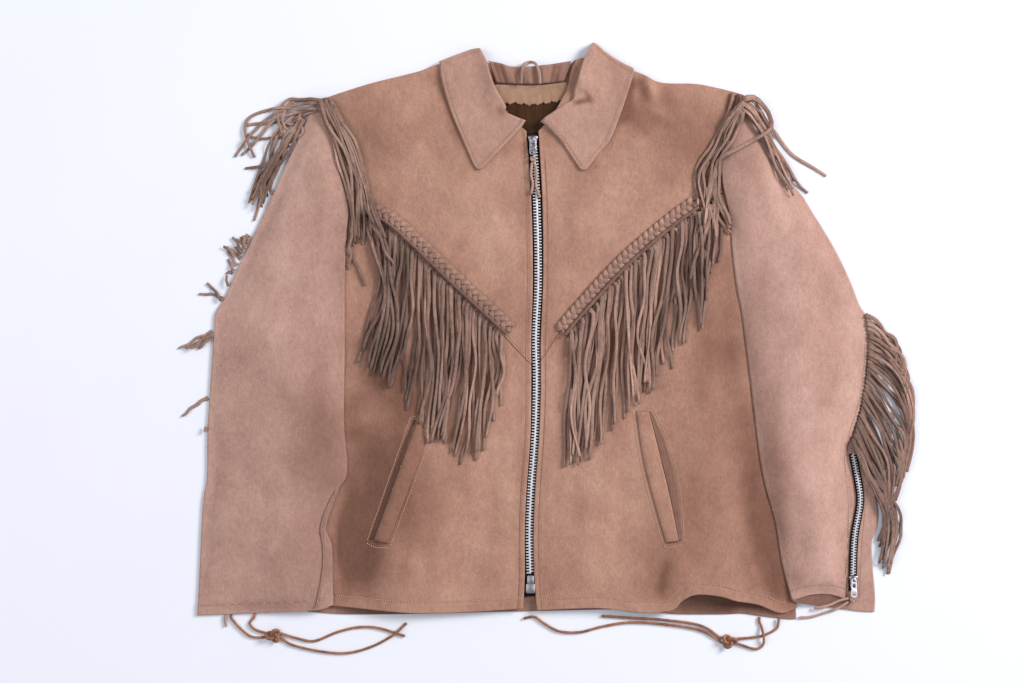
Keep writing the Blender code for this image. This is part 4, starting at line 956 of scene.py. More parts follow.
def metal(name, dark, light, roughness, metallic):
    """Worn white metal: darker in patches where it has tarnished, with fine scratches."""
    look, tree, shader, place = new_look(name, roughness, metallic)
    tarnish = noise_at(tree, place, 190)
    scratches = noise_at(tree, place, 700, (1, 0.1, 1), 0.6)
    share = weigh(tree, ((tarnish, 1.2), (scratches, 0.5)))
    rough = remap(tree, tarnish, 0.2, 0.8, roughness + 0.12, roughness - 0.08)
    tree.links.new(rough, shader.inputs["Roughness"])
    colour = blend_colours(tree, share, shade(dark), shade(light))
    surface(tree, shader, colour, scratches, 0.15, 0.0001)
    return look


ZIP_METAL = metal("zip_metal", (204, 200, 208), (252, 251, 254), 0.46, 0.66)
FITTING_METAL = metal("fitting_metal", (118, 116, 122), (184, 182, 188), 0.42, 1.0)


def ribbon(route, width, stations, rows):
    """A grid of places across and along a route, and the share of the width at each row."""
    centre = along(route, np.linspace(0, 1, stations))
    across = np.linspace(-1, 1, rows)
    side = left_of(directions(centre))
    return centre[None] + across[:, None, None] * side[None] * width / 2, across


def woven_tape(name, solid, route, width):
    """A tape on its solid's own top, with a thicker cord where the teeth are clamped."""
    grid, across = ribbon(route, width, round(length_of(route) / 4), 15)
    level = read_map(solid_top(solid, 3), grid[..., 0], grid[..., 1])
    level = level + 0.35 * np.exp(-((np.abs(across)[:, None] * width / 2 - 3.4) / 1.2) ** 2)
    return dress(shell(name, grid, level, 0.9, TAPE), solid)


def tooth():
    """A tooth's half profile carried across: a bar that is clamped at x = -1 and ends in a
    raised, narrowed tip at x = 1."""
    stations = np.array([(-1.0, 0.5, 0.7), (-0.35, 0.52, 0.95), (0.25, 0.66, 1.0), (0.75, 0.74, 1.0),
                         (1.0, 0.5, 0.6)])
    corners = np.array([(-1, -0.6), (-0.7, -1), (0.7, -1), (1, -0.6), (1, 0.6), (0.7, 1), (-0.7, 1),
                        (-1, 0.6)])
    points = np.stack([np.column_stack([np.full(8, x), corners[:, 0] * wide, corners[:, 1] * high])
                       for x, wide, high in stations]).reshape(-1, 3)
    faces = [tuple(range(8))[::-1], tuple(range(32, 40))]
    for ring in range(4):
        a = 8 * ring
        faces += [(a + k, a + (k + 1) % 8, a + 8 + (k + 1) % 8, a + 8 + k) for k in range(8)]
    return points, faces


def teeth(name, solid, route, pitch, size, reach):
    """Two rows of teeth that mesh along a route."""
    count = round(length_of(route) / pitch)
    all_places, all_ways = [], []
    for sign, start in ((1, 0.25), (-1, 0.75)):
        spots = along(route, (np.arange(count) + start) / count)
        side = sign * left_of(directions(spots))
        level = read_map(ground, *spots.T) + size[2] * 0.75
        all_places.append(np.column_stack([spots + reach * side, level]))
        all_ways.append(np.column_stack([-side, np.zeros(count)]))
    points, faces = copies(*tooth(), np.vstack(all_places), np.vstack(all_ways), np.array(size))
    dress(add_piece(name, points, faces, ZIP_METAL, smooth=False), solid)
    grid, _ = ribbon(route, 7, count, 3)
    raise_ground(np.dstack([grid, read_map(ground, grid[..., 0], grid[..., 1]) + 1.9]))
    print(name, 2 * count, "teeth")


woven_tape("zip_tape_woven", "zip_tape", [(0, 19)] + ZIP_LINE, 26)
teeth("zip_teeth", "zip_chain", ZIP_LINE[:-1] + [(3, 578)], 3.7, (2.8, 1.5, 1.1), 1.75)

# %% [markdown]
# ## The collar
# The collar's two leaves fall from the stand and lie on the yokes, edge to edge at the front. A leaf
# is two layers of suede turned at the edge, so it is thicker and rounder than a panel, and it is
# stitched all round a needle's width from the edge. It rolls up towards its fold.

# %% The two leaves
LEAF_LOW_R = [(-67, 549), (-60, 550), (-36, 575), (-14, 598), (-6, 610)]
LEAF_FOLD_R = [(-6, 610), (-32, 620), (-31, 627), (-46, 655), (-55, 683), (-63, 698)]
LEAF_TOP_R = [(-114, 683), (-91, 692), (-67, 700), (-63, 698)]
LEAF_OUT_R = [(-67, 549), (-72, 556), (-86, 588), (-100, 622), (-111, 658), (-114, 683)]
LEAF_LOW_L = [(11, 608), (20, 601), (38, 582), (55, 557), (62, 548), (69, 548)]
LEAF_OUT_L = [(69, 548), (83, 567), (98, 585), (112, 620), (123, 653), (128, 670)]
LEAF_TOP_L = [(73, 700), (79, 707), (98, 691), (114, 681), (126, 675), (128, 670)]
LEAF_FOLD_L = [(11, 608), (17, 614), (27, 620), (40, 629), (51, 635), (53, 647), (58, 664),
               (64, 682), (73, 700)]
LEAF_CREASES_R = [
    (-66, 704, -40, 640, 9, 2.2), (-96, 650, -60, 600, 9, 1.0), (-84, 560, -50, 590, 7, 0.9),
    (-40, 600, -70, 640, 8, -0.8), (-100, 676, -70, 690, 6, 0.7),
]
LEAF_CREASES_L = [
    (78, 708, 58, 646, 8, 2.2), (60, 640, 76, 662, 6, 2.2), (54, 648, 62, 690, 5, 1.4),
    (96, 650, 70, 600, 9, 1.1), (80, 560, 50, 590, 8, 0.8), (110, 670, 90, 640, 8, -0.9),
]
LEAVES = (
    # name, solid, its four edges, stitched lines, creases
    ("collar_leaf_right", "collar_leaf_r", (LEAF_LOW_R, LEAF_FOLD_R, LEAF_TOP_R, LEAF_OUT_R),
     {"low": 5.0, "left": 5.4, "top": 5.4}, LEAF_CREASES_R),
    ("collar_leaf_left", "collar_leaf_l", (LEAF_LOW_L, LEAF_OUT_L, LEAF_TOP_L, LEAF_FOLD_L),
     {"low": 5.0, "right": 5.4, "top": 5.4}, LEAF_CREASES_L),
)
for name, solid, edges, stitched, table in LEAVES:
    panel(name, edges, solid, 2.6, COLLAR_SUEDE, step=3.4, stitched=stitched,
                         table=table, seed=len(name), swell=0.35, turned=0.3, painted_stripes=COLLAR_PAINTED_SHADE_AND_LIGHT,
                         over=2)

# %% [markdown]
# ## Pockets
# Each front has a slanting pocket: a long narrow welt, sewn down at its ends and along one side, with
# the pocket showing in the open slit beside it, darkened by painted shade. The welt is turned double
# and crowned, and painted darker where the front lies in shade.

# %% Welts and open mouths
WELT_R = four_edges(left=[(-195, 89), (-141, 237)], right=[(-177, 85), (-125, 223)])
WELT_L = four_edges(left=[(167, 86), (148, 151), (137, 198), (130, 249)],
                    right=[(183, 88), (172, 142), (160, 192), (146, 249)])
MOUTH_R = four_edges(left=[(-200, 90), (-146, 238)], right=[(-196.5, 90), (-142.5, 238)])
MOUTH_L = four_edges(left=[(183.5, 88), (172.5, 142), (160.5, 192), (146.5, 249)],
                     right=[(186, 89), (184, 125), (178, 168), (165, 213), (149.5, 248)])
POCKETS = (
    # name, solid, edges, thickness, look, crown, slot, tone: painted shade
    ("pocket_mouth_right", "pocket_mouth_r", MOUTH_R, 0.9, INNER_SUEDE_IN_SHADE, -0.3, "pocket_lining", 0.36),
    ("pocket_mouth_left", "pocket_mouth_l", MOUTH_L, 0.9, INNER_SUEDE_IN_SHADE, -0.3, "pocket_lining", 0.72),
    ("pocket_welt_right", "pocket_welt_r", WELT_R, 1.5, BODY_SUEDE, 1.0, "suede", 0.66),
    ("pocket_welt_left", "pocket_welt_l", WELT_L, 1.5, BODY_SUEDE, 1.0, "suede", 0.92),
)


def pocket_strip(name, solid, edges, thick, look, crown, slot, tone):
    """A narrow strip that lies on the front, higher along its middle by the crown, and darkened by its
    tone, which is painted shade.
    """
    u = np.linspace(0, 1, 17)
    grid = blend_edges(edges, u, np.linspace(0, 1, 61))
    level = read_map(smooth_map(ground, ground > 0, 3), grid[..., 0], grid[..., 1])
    top = level + thick + crown * np.sin(np.pi * u)[None, :] ** 0.6
    dress(shell(name, grid, top, thick, look, seam=np.abs(run_from(grid, 1) - 3.0),
                painted_shade_and_light=np.full(top.shape, tone)), solid)


for pocket_row in POCKETS:
    pocket_strip(*pocket_row)
print("pockets", stretch_of(WELT_R[3]), stretch_of(WELT_L[3]), "m long")

# %% [markdown]
# ## The braids
# A flat braid of three thongs covers each yoke seam. In a flat braid every thong swings from side to
# side, and goes over its neighbour on the way in and under it on the way out. That is a sine across
# the band and a sine of twice the pace for the height, each thong a third of a turn behind the last.

# %% Plaited thongs
BRAID_R = [(-195, 500), (-162, 480), (-94, 415), (-25, 351)]
BRAID_L = [(36, 349), (56, 373), (105, 427), (135, 455), (172, 486), (202, 508)]
BRAID_REPEAT = 27.0
BRAID_SUEDE = suede("braid_suede", (84, 56, 46), (162, 124, 109), (194, 156, 141), seams=False,
                    strands=True)


def strip_rings(centre, widths, thick, roll, softness=0.3):
    """Rings of eight points round a strip: its flat section with softened corners, turned about
    its run by roll."""
    ahead = directions(centre)
    side = np.cross(ahead, [0.0, 0.0, 1.0])
    side /= np.linalg.norm(side, axis=1, keepdims=True)
    up = np.cross(side, ahead)
    s = np.array([-1, -1 + softness, 1 - softness, 1, 1, 1 - softness, -1 + softness, -1]) / 2
    h = np.array([-0.45, -1, -1, -0.45, 0.45, 1, 1, 0.45]) / 2
    s = s[None, :, None] * np.asarray(widths)[:, None, None]
    h = h[None, :, None] * thick
    c, d = np.cos(roll)[:, None, None], np.sin(roll)[:, None, None]
    return (centre[:, None] + s * (c * side[:, None] + d * up[:, None])
            + h * (c * up[:, None] - d * side[:, None]))


def joined_strips(rings):
    """Points and faces of closed strips from an array (strips, stations, ring, 3)."""
    strips, stations, around = rings.shape[:3]
    index = np.arange(strips * stations * around).reshape(strips, stations, around)
    walls = walls_of(index)
    caps = index[:, 0][:, ::-1].tolist() + index[:, -1].tolist()
    a, b, d = rings[0, 0, 0], rings[0, 0, 1], rings[0, 1, 0]
    inward = np.cross(b - a, d - a) @ (a - rings[0, 0].mean(axis=0)) < 0
    if inward:
        return rings.reshape(-1, 3), walls[:, ::-1].tolist() + [cap[::-1] for cap in caps]
    return rings.reshape(-1, 3), walls.tolist() + caps


def braid(name, solid, route):
    """Three thongs round a flat braid: across = 5.1 sin t, height = 1.1 sin 2t."""
    repeats = round(length_of(route) / BRAID_REPEAT)
    stations = 26 * repeats + 1
    line = along(route, np.linspace(0, 1, stations))
    side = left_of(directions(line))
    base = read_map(smooth_map(ground, ground > 0, 6), *line.T) + 1.9
    t = np.linspace(0, 2 * np.pi * repeats, stations)
    strands = []
    for third in range(3):
        turn = t + 2 * np.pi * third / 3
        place = line + (5.1 * np.sin(turn))[:, None] * side
        centre = np.column_stack([place, base + 0.3 + 1.1 * np.sin(2 * turn)])
        strands.append(strip_rings(centre, np.full(stations, 7.0), 2.0, 0.3 * np.cos(turn), 0.5))
    points, faces = joined_strips(np.array(strands))
    tone = (0.94 + 0.1 * np.sin(np.outer([3, 5, 7], t) * 0.7 + 1)[..., None] * np.ones(8)).ravel()
    # The thongs' sides are darker: partly a raw cut edge, partly painted shade where the thongs meet.
    cut = np.tile([0.5, 0, 0, 0.5, 0.35, 0, 0, 0.35], len(points) // 8)
    dress(add_piece(name, points, faces, BRAID_SUEDE, values={"tone": tone, "cut": cut}),
          solid)
    grid, _ = ribbon(route, 11, 120, 5)
    level = base[np.linspace(0, stations - 1, 120).astype(int)] + 0.9
    raise_ground(np.dstack([grid, np.repeat(level[None], 5, axis=0)]))
    print(name, repeats, "repeats")


braid("braid_right", "braid_r", BRAID_R)
braid("braid_left", "braid_l", BRAID_L)

# %% [markdown]
# ## Fringe
# Fringe is a strip of suede cut into narrow ribbons. Each ribbon here is a flat strip with its own
# route, a little twist, and its own tone; its cut edges are darker, partly as a raw edge is and
# partly as painted shade in the gaps between ribbons, and its roots and listed stripes carry painted
# shade, with a little painted highlight. The ribbons are laid one by one on the map of heights, so
# that they rest on each other and on what is under them: the underside follows the highest ground
# near it, smoothed as a strip of leather would smooth it.

# %% Laying ribbons
STRAND_THICK = 1.4
STRAND_STATIONS = 34
DEEPEST_PILE = 5.5
LINE_STEP = 1.2


def close_line(route):
    """Points about LINE_STEP apart along a route, and their shares of its length."""
    count = max(12, round(length_of(route) / LINE_STEP))
    return along(route, np.linspace(0, 1, count)), np.linspace(0, 1, count)


def resting_height(line, width, clear=0.2, reach=5, land=ground):
    """The underside's height at each point of a close line: the highest ground across the width
    and within the reach, in points along the line, then a weighted mean over the same reach."""
    side = left_of(directions(line))
    under = np.max([land[cells(*(line + share * width * side).T)]
                    for share in (-0.5, -0.25, 0, 0.25, 0.5)], axis=0)
    window = np.lib.stride_tricks.sliding_window_view
    high = window(np.pad(under, reach, mode="edge"), 2 * reach + 1).max(axis=1)
    weights = np.hanning(2 * reach + 3)[1:-1]
    return window(np.pad(high, reach, mode="edge"), 2 * reach + 1) @ (weights / weights.sum()) + clear


def lift_ground(line, width, top):
    """Raises the map under a narrow strip."""
    side = left_of(directions(line))
    for share in (-0.45, -0.2, 0.0, 0.2, 0.45):
        np.maximum.at(ground, cells(*(line + share * width * side).T), top)


def laid_line(route, radius, count):
    """The middle of a round strip that is laid along a route, as count points."""
    line, share = close_line(route)
    low = resting_height(line, 2 * radius)
    lift_ground(line, 2 * radius, low + 2 * radius)
    return resampled(np.column_stack([line, low + radius]), share, np.linspace(0, 1, count))


# Stripes of painted shade on the ribbons, and a few of painted highlight where the amount is above 0,
# in the same rows as the cloth's.
FRINGE_SHADE = [
    (255, 620, 224, 492, 17, -0.3), (-191, 343, -182, 232, 17, -0.16),
    (-157, 356, -148, 219, 20, -0.36), (-191, 526, -187, 459, 12, -0.35),
    (418, 350, 445, 64, 32, -0.24), (-197, 387, -182, 263, 22, -0.4),
    (-157, 467, -160, 381, 19, -0.55), (-157, 387, -133, 263, 25, -0.45),
    (-124, 281, -88, 195, 20, -0.3), (210, 474, 197, 337, 25, -0.45),
    (177, 399, 160, 325, 17, -0.35), (110, 281, 86, 213, 17, -0.2),
    (-286, 598, -339, 505, 22, -0.4), (-222, 523, -215, 424, 12, -0.25),
    (-334, 598, -341, 492, 20, -0.2), (440, 263, 438, 64, 20, -0.2), (-76, 325, -63, 213, 14, 0.08),
    (86, 362, 73, 238, 20, 0.08), (135, 387, 135, 275, 20, 0.06),
]


def fringe(name, solid, routes, width, seed, sway, twist=0.7, topmost=1.0):
    """Ribbons along routes, laid in a shuffled order but for the last one, which lies on top and is
    topmost times as wide. A ribbon swings from its route by a slow wave that starts at nothing, and
    rolls by another. At the roots the ribbons are still one strip, so they pile up less."""
    rng = np.random.default_rng(seed)
    bare = ground.copy()
    share = np.linspace(0, 1, STRAND_STATIONS)
    rings = np.zeros((len(routes), STRAND_STATIONS, 8, 3))
    tones = rng.uniform(0.74, 1.18, len(routes))
    order = rng.permutation(len(routes))
    for k in [*order[order < len(routes) - 1], len(routes) - 1]:
        line, t = close_line(routes[k])
        side = left_of(directions(line))
        swing = sum(rng.uniform(-1, 1) * np.sin(np.pi * pace * t + rng.uniform(-0.6, 0.6))
                    for pace in (1.1, 2.3, 3.7))
        most = min(sway, 0.03 * length_of(routes[k]))
        line = line + (most * swing * soft_step(t * 3))[:, None] * side
        wide = width * rng.uniform(0.86, 1.12) * np.interp(t, [0, 0.12, 0.8, 1], [1.4, 1.0, 0.9, 0.72])
        wide *= topmost if k == len(routes) - 1 else 1
        roll = twist * rng.uniform(-1, 1) * np.sin(np.pi * rng.uniform(0.8, 2.4) * t
                                                   + rng.uniform(0, 3)) * soft_step(t * 4)
        low = resting_height(line, wide.max()) + 0.4 * wide * np.abs(np.sin(roll))
        low = np.minimum(low, resting_height(line, wide.max(), land=bare) + DEEPEST_PILE)
        pile = STRAND_THICK * np.interp(t, [0, 0.15, 0.35], [0.12, 0.6, 1])
        lift_ground(line, wide.mean(), low + pile)
        centre = resampled(np.column_stack([line, low + STRAND_THICK / 2]), t, share)
        rings[k] = strip_rings(centre, np.interp(share, t, wide), STRAND_THICK,
                               np.interp(share, t, roll))
    points, faces = joined_strips(rings)
    # The cut sides darken toward the suede's darkest colour: partly a raw cut edge, partly painted
    # shade in the gaps between ribbons, deepest on the lower sides.
    cut = np.tile([0.8, 0.1, 0.1, 0.8, 0.55, 0.0, 0.0, 0.55], len(points) // 8)
    # Painted shade at the roots, where the ribbons pack together.
    root = np.interp(share, [0, 0.05, 0.2, 1], [0.78, 0.9, 1.0, 1.03])
    shaded = np.maximum(1 + creases(rings[..., 0], rings[..., 1], FRINGE_SHADE), 0.4)
    tone = (tones[:, None, None] * root[None, :, None] * shaded).ravel()
    dress(add_piece(name, points, faces, FRINGE_SUEDE, values={"cut": cut, "tone": tone}),
          solid)
    print(name, len(routes), "ribbons")


print(len(FRINGE_SHADE), "shaded stripes on the fringe")

# %% [markdown]
# ## The long fringe under the yoke
# The yoke's ribbons hang from below the braid nearly straight, in uneven lengths that follow the V.
# A rolled welt, darker than the rest, lies over their roots.

# %% Yoke fringe and its welt
YOKE_ENDS_R = [(-205, 315), (-175, 290), (-141, 248), (-129, 222), (-108, 221), (-86, 187),
               (-69, 196), (-50, 239), (-40, 263)]
YOKE_ENDS_L = [(38, 177), (62, 193), (82, 208), (109, 237), (135, 272), (156, 299), (185, 327),
               (205, 338), (216, 400)]


def yoke_routes(line, ends, inset, count, way, seed):
    """Routes from the braid's lower side to the line of ends. Each leaves the welt sideways, curls
    down, and leans a little, in clumps; the outermost ones bow inwards."""
    rng = np.random.default_rng(seed)
    roots = along(line, np.linspace(0.005, 0.995, count)) + np.array(inset)
    ends = np.array(ends, float)
    lean = (np.where(way < 0, -17, -4) + 8 * np.sin(0.31 * np.arange(count) + 1)
            + rng.uniform(-9, 9, count))
    low = np.interp(roots[:, 0] + lean, ends[:, 0], ends[:, 1]) + rng.uniform(-12, 9, count)
    bow = np.where(way < 0, 17 * np.clip(1 - np.arange(count) / 9, 0, 1), 0)
    middle = roots + np.stack([0.35 * lean + bow, 0.5 * (low - roots[:, 1])], axis=-1)
    curl = rng.uniform(0.5, 1.2, (count, 2, 1)) * np.array([(way * 4.6, 0.4), (way * 6.9, -9.5)])
    return [[root, root + first, root + second, mid, (root[0] + shift, end)]
            for root, (first, second), mid, shift, end in zip(roots, curl, middle, lean, low)]


WELT_SUEDE = suede("rolled_welt", (70, 46, 38), (118, 86, 74), (150, 114, 100), seams=False)


def welt(name, route, radius=1.9, look=WELT_SUEDE):
    """A rolled welt: a tube laid over the ribbons' roots."""
    at = np.linspace(0, 1, 90)
    wobble = 1 + 0.08 * np.sin(37 * at) + 0.06 * np.sin(91 * at)
    rings = strip_rings(laid_line(route, radius, len(at)), 2 * radius * wobble, 2 * radius,
                        np.zeros(len(at)), 0.55)
    add_piece(name, *joined_strips(rings[None]), look)


for name, solid, line, ends, side, seed in (
    ("yoke_fringe_right", "fringe_yoke_r", BRAID_R, YOKE_ENDS_R, -1, 11),
    ("yoke_fringe_left", "fringe_yoke_l", BRAID_L, YOKE_ENDS_L, 1, 12),
):
    fringe(name, solid, yoke_routes(line, ends, (side * 6.4, -7.2), 46, side, seed), 4.5, seed,
           sway=2.8, twist=0.85)
    welt(name + "_welt", np.array(line) + (side * 5.4, -6.1))

# %% [markdown]
# ## The sleeves
# A sleeve that lies flat is a tube pressed together: an under panel on the table and an upper panel
# that keeps some air and the creases of the elbow. Both follow their solids, and the upper one is
# drawn over the body's side.

# %% Sleeve panels
SLEEVE_OUT_R = [(-415, -5), (-413, 30), (-408, 131), (-403, 166), (-402, 226), (-399, 274),
                (-394, 350), (-392, 371), (-381, 389), (-363, 429), (-324, 511), (-302, 560),
                (-284, 598), (-268, 634)]
SLEEVE_IN_R = [(-245, 9), (-246, 38), (-247, 82), (-254, 102), (-249, 124), (-238, 153),
               (-228, 175), (-232, 238), (-231, 321), (-231, 412), (-228, 472), (-226, 498),
               (-232, 525), (-243, 568), (-257, 635)]
CUFF_R = [(-415, -5), (-341, -2), (-267, 2), (-245, 9)]
SLEEVE_OUT_L = [(391, 15), (392, 45), (394, 92), (401, 134), (398, 166), (392, 196), (404, 232),
                (414, 269), (418, 305), (422, 343), (418, 365), (408, 381), (396, 412), (377, 451),
                (351, 494), (334, 520), (315, 538), (298, 569), (278, 603), (270, 633)]
UNDER_OUT_L = [(427, -1), (428, 19), (425, 55), (424, 87), (430, 102), (432, 124), (427, 149),
               (415, 176), (404, 226)] + SLEEVE_OUT_L[7:]
SLEEVE_IN_L = [(326, 15), (322, 20), (311, 63), (303, 112), (286, 177), (274, 270), (262, 365),
               (255, 401), (250, 441), (246, 490), (237, 533), (237, 559), (243, 585), (261, 633)]
UNDER_IN_L = [(x + 9 * (60 < y < 600), y) for x, y in SLEEVE_IN_L]
CUFF_L = [(326, 15), (347, 21), (371, 21), (391, 15)]
CUFF_UNDER_L = [(326, 12), (371, 5), (407, 0), (427, -1)]
SLEEVE_CREASES_R = [
    (-380, 60, -370, 260, 12, 1.5), (-340, 30, -330, 170, 12, -1.3),
    (-300, 120, -290, 300, 13, 1.4), (-262, 150, -256, 330, 10, 1.1),
    (-396, 300, -340, 330, 9, 1.0), (-390, 350, -330, 390, 9, 1.2), (-320, 380, -300, 520, 11, 1.1),
    (-350, 440, -290, 560, 10, -0.3), (-262, 420, -248, 560, 9, 0.9), (-300, 60, -286, 120, 9, 1.0),
    (-390, 180, -350, 210, 8, -0.9),
]
SLEEVE_CREASES_L = [
    (350, 60, 372, 200, 10, 1.2), (330, 60, 326, 180, 9, -1.0), (300, 180, 320, 330, 11, 1.3),
    (360, 240, 388, 360, 11, 1.3), (400, 250, 370, 300, 8, 1.0), (290, 330, 300, 460, 10, 1.1),
    (330, 380, 340, 500, 12, 1.2), (270, 420, 268, 560, 8, 0.9), (390, 330, 350, 380, 9, -1.0),
    (300, 500, 280, 590, 8, 0.9), (340, 120, 384, 170, 8, 0.8),
]
SLEEVE_EDGES_R = four_edges(CUFF_R, SLEEVE_IN_R, left=SLEEVE_OUT_R)
CUFF_STITCH = 12.4
SLEEVES = (
    # name, solid, its four edges, what it lies on, creases, seed
    ("sleeve_under_right", "sleeve_under_r", SLEEVE_EDGES_R, "pale_floor", (), 21),
    ("sleeve_under_left", "sleeve_under_l", four_edges(CUFF_UNDER_L, UNDER_OUT_L, left=UNDER_IN_L),
     "pale_floor", (), 22),
    ("sleeve_upper_right", "sleeve_upper_r", SLEEVE_EDGES_R, "sleeve_under_right",
     SLEEVE_CREASES_R, 23),
    ("sleeve_upper_left", "sleeve_upper_l", four_edges(CUFF_L, SLEEVE_OUT_L, left=SLEEVE_IN_L),
     "sleeve_under_left", SLEEVE_CREASES_L, 24),
)
for name, solid, edges, _, table, seed in SLEEVES:
    upper = "upper" in name
    if name == "sleeve_upper_left":
        woven_tape("cuff_zip_tape_woven", "cuff_zip_tape", [CUFF_TAPE_END] + CUFF_ZIP_LINE, 10.5)
    swell, painted_stripes, over = (0.7, SLEEVE_PAINTED_SHADE_AND_LIGHT, 20) if upper else (0.1, UNDER_SLEEVE_PAINTED_SHADE, 0)
    panel(name, edges, solid, 1.6, SLEEVE_SUEDE, stitched={"low": CUFF_STITCH},
                          table=table, seed=seed, swell=swell, painted_stripes=painted_stripes, over=over)
SEAM_SUEDE = suede("seam_suede", (112, 80, 68), (156, 119, 105), (186, 150, 138), seams=False)
welt("sleeve_seam_right", [(-241, 151), (-251, 133), (-260, 105), (-257, 80), (-258, 49), (-266, 6)],
     0.7, SEAM_SUEDE)
teeth("cuff_zip_teeth", "cuff_zip_chain", CUFF_ZIP_LINE, 3.4, (2.0, 1.3, 1.0), 1.15)

# %% [markdown]
# ## Loose bundles of fringe
# At the shoulders and down the sleeves the fringe is not sewn over a panel but hangs from the seam,
# so on the table it fans out and curls over its own strands. Each ribbon has its own route, or a few
# key routes are given and the others lie between them. Two short rolled strips are sewn over the
# left shoulder's roots.

# %% Shoulder and sleeve fringe
def between_keys(keys, count, seed, stray=3.5, trim=0.16):
    """Routes spread evenly from the first key strand to the last: at share s of the way, the weighted
    mean of the two keys beside it, each point strayed a little, and the end trimmed."""
    rng = np.random.default_rng(seed)
    keys = np.array(keys, float)
    at = np.linspace(0, len(keys) - 1, count)
    low = np.minimum(at.astype(int), len(keys) - 2)
    share = (at - low)[:, None, None]
    routes = (1 - share) * keys[low] + share * keys[low + 1]
    growing = np.linspace(0, 1, keys.shape[1])[None, :, None]
    routes = routes + rng.uniform(-stray, stray, routes.shape) * growing
    cuts = rng.uniform(1 - trim, 1, count)
    return [along(route, np.linspace(0, cut, 8)) for route, cut in zip(routes, cuts)]


FRONT_KEYS_R = [
    [(-263, 632), (-258, 613), (-246, 585), (-235, 554), (-225, 513), (-224, 446)],
    [(-258, 636), (-250, 613), (-235, 583), (-223, 551), (-215, 511), (-218, 452)],
    [(-252, 637), (-242, 615), (-228, 583), (-217, 548), (-212, 511), (-208, 452)],
    [(-246, 632), (-234, 608), (-219, 575), (-207, 542), (-202, 505), (-192, 471)],
    [(-244, 627), (-233, 605), (-217, 573), (-205, 536), (-196, 501), (-180, 456)],
]
FRONT_LOOSE_R = [
    [(-205, 505), (-193, 480), (-182, 449), (-172, 418), (-165, 360)],
    [(-222, 466), (-224, 446), (-216, 424), (-205, 405)],
    [(-197, 484), (-184, 454), (-170, 429)],
    [(-222, 476), (-224, 455), (-225, 425)],
]
FRONT_L = [
    [(265, 635), (254, 624), (244, 613), (235, 599), (227, 586), (221, 575), (212, 564), (206, 553),
     (203, 541), (204, 528), (207, 514), (206, 504)],
    [(264, 633), (252, 619), (242, 609), (234, 595), (229, 582), (224, 571), (217, 558), (210, 547),
     (208, 537), (209, 523), (212, 510), (215, 496)],
    [(264, 631), (255, 622), (246, 611), (239, 598), (232, 583), (225, 573), (219, 564), (214, 554),
     (211, 542), (212, 530), (214, 517), (215, 503), (216, 492)],
    [(254, 624), (245, 609), (238, 593), (232, 577), (224, 564), (216, 553), (214, 539), (214, 526),
     (212, 512)],
    [(259, 621), (252, 609), (246, 594), (242, 583), (236, 573), (230, 564), (225, 554), (222, 542),
     (220, 530), (219, 517), (217, 503)],
    [(263, 629), (257, 621), (250, 609), (242, 595), (239, 582), (237, 571), (233, 558), (228, 546),
     (225, 533), (223, 522), (220, 511), (217, 500), (216, 487)],
    [(261, 619), (260, 609), (256, 598), (251, 586), (244, 576), (237, 567), (233, 558), (230, 547),
     (229, 533), (229, 519), (232, 505), (238, 495), (243, 486)],
    [(247, 582), (241, 573), (236, 564), (233, 553), (232, 541), (232, 529), (233, 517), (237, 505),
     (242, 493), (246, 480)],
    [(244, 576), (236, 559), (234, 546), (232, 533), (234, 521), (237, 509), (241, 496), (245, 487)],
    [(234, 555), (230, 542), (230, 530), (230, 517), (234, 503), (239, 491), (245, 482)],
    [(225, 548), (224, 535), (225, 521), (229, 509), (235, 496), (242, 487), (247, 476)],
    [(223, 542), (220, 529), (222, 515), (226, 503), (233, 489), (239, 480), (248, 469)],
    [(219, 559), (216, 548), (215, 537), (216, 523), (217, 509), (220, 496), (225, 483)],
    [(228, 526), (228, 512), (230, 498), (229, 480), (228, 458), (225, 429)],
    [(225, 514), (228, 496), (234, 483), (235, 469), (235, 451), (232, 434)],
    [(217, 526), (220, 509), (223, 492), (227, 480), (230, 471), (230, 464)],
    [(226, 548), (227, 523), (226, 492), (223, 461), (221, 434), (215, 407)],
    [(231, 517), (231, 481), (227, 449), (223, 419)],
    [(223, 505), (218, 474), (211, 455), (203, 439), (197, 412)],
    [(213, 501), (215, 461), (216, 412), (213, 350)],
    [(208, 496), (211, 449), (211, 399), (210, 357)],
    [(219, 496), (221, 467), (218, 436), (217, 387)],
    [(262, 634), (276, 637), (291, 624), (297, 612), (298, 602), (290, 594), (272, 584), (253, 573),
     (234, 562), (228, 548), (224, 532), (219, 516), (216, 498), (214, 480)],
]
OUT_KEYS_L = [
    [(257, 624), (268, 615), (280, 599), (292, 575), (305, 550), (320, 512)],
    [(258, 629), (272, 618), (286, 598), (299, 574), (311, 549), (325, 517)],
    [(260, 635), (277, 625), (292, 604), (303, 580), (317, 554), (331, 522)],
]
OUT_LOOSE_L = [
    [(260, 638), (280, 629), (300, 596), (321, 570), (348, 553), (367, 541)],
    [(258, 633), (280, 612), (304, 573), (324, 543), (337, 528), (345, 521)],
]
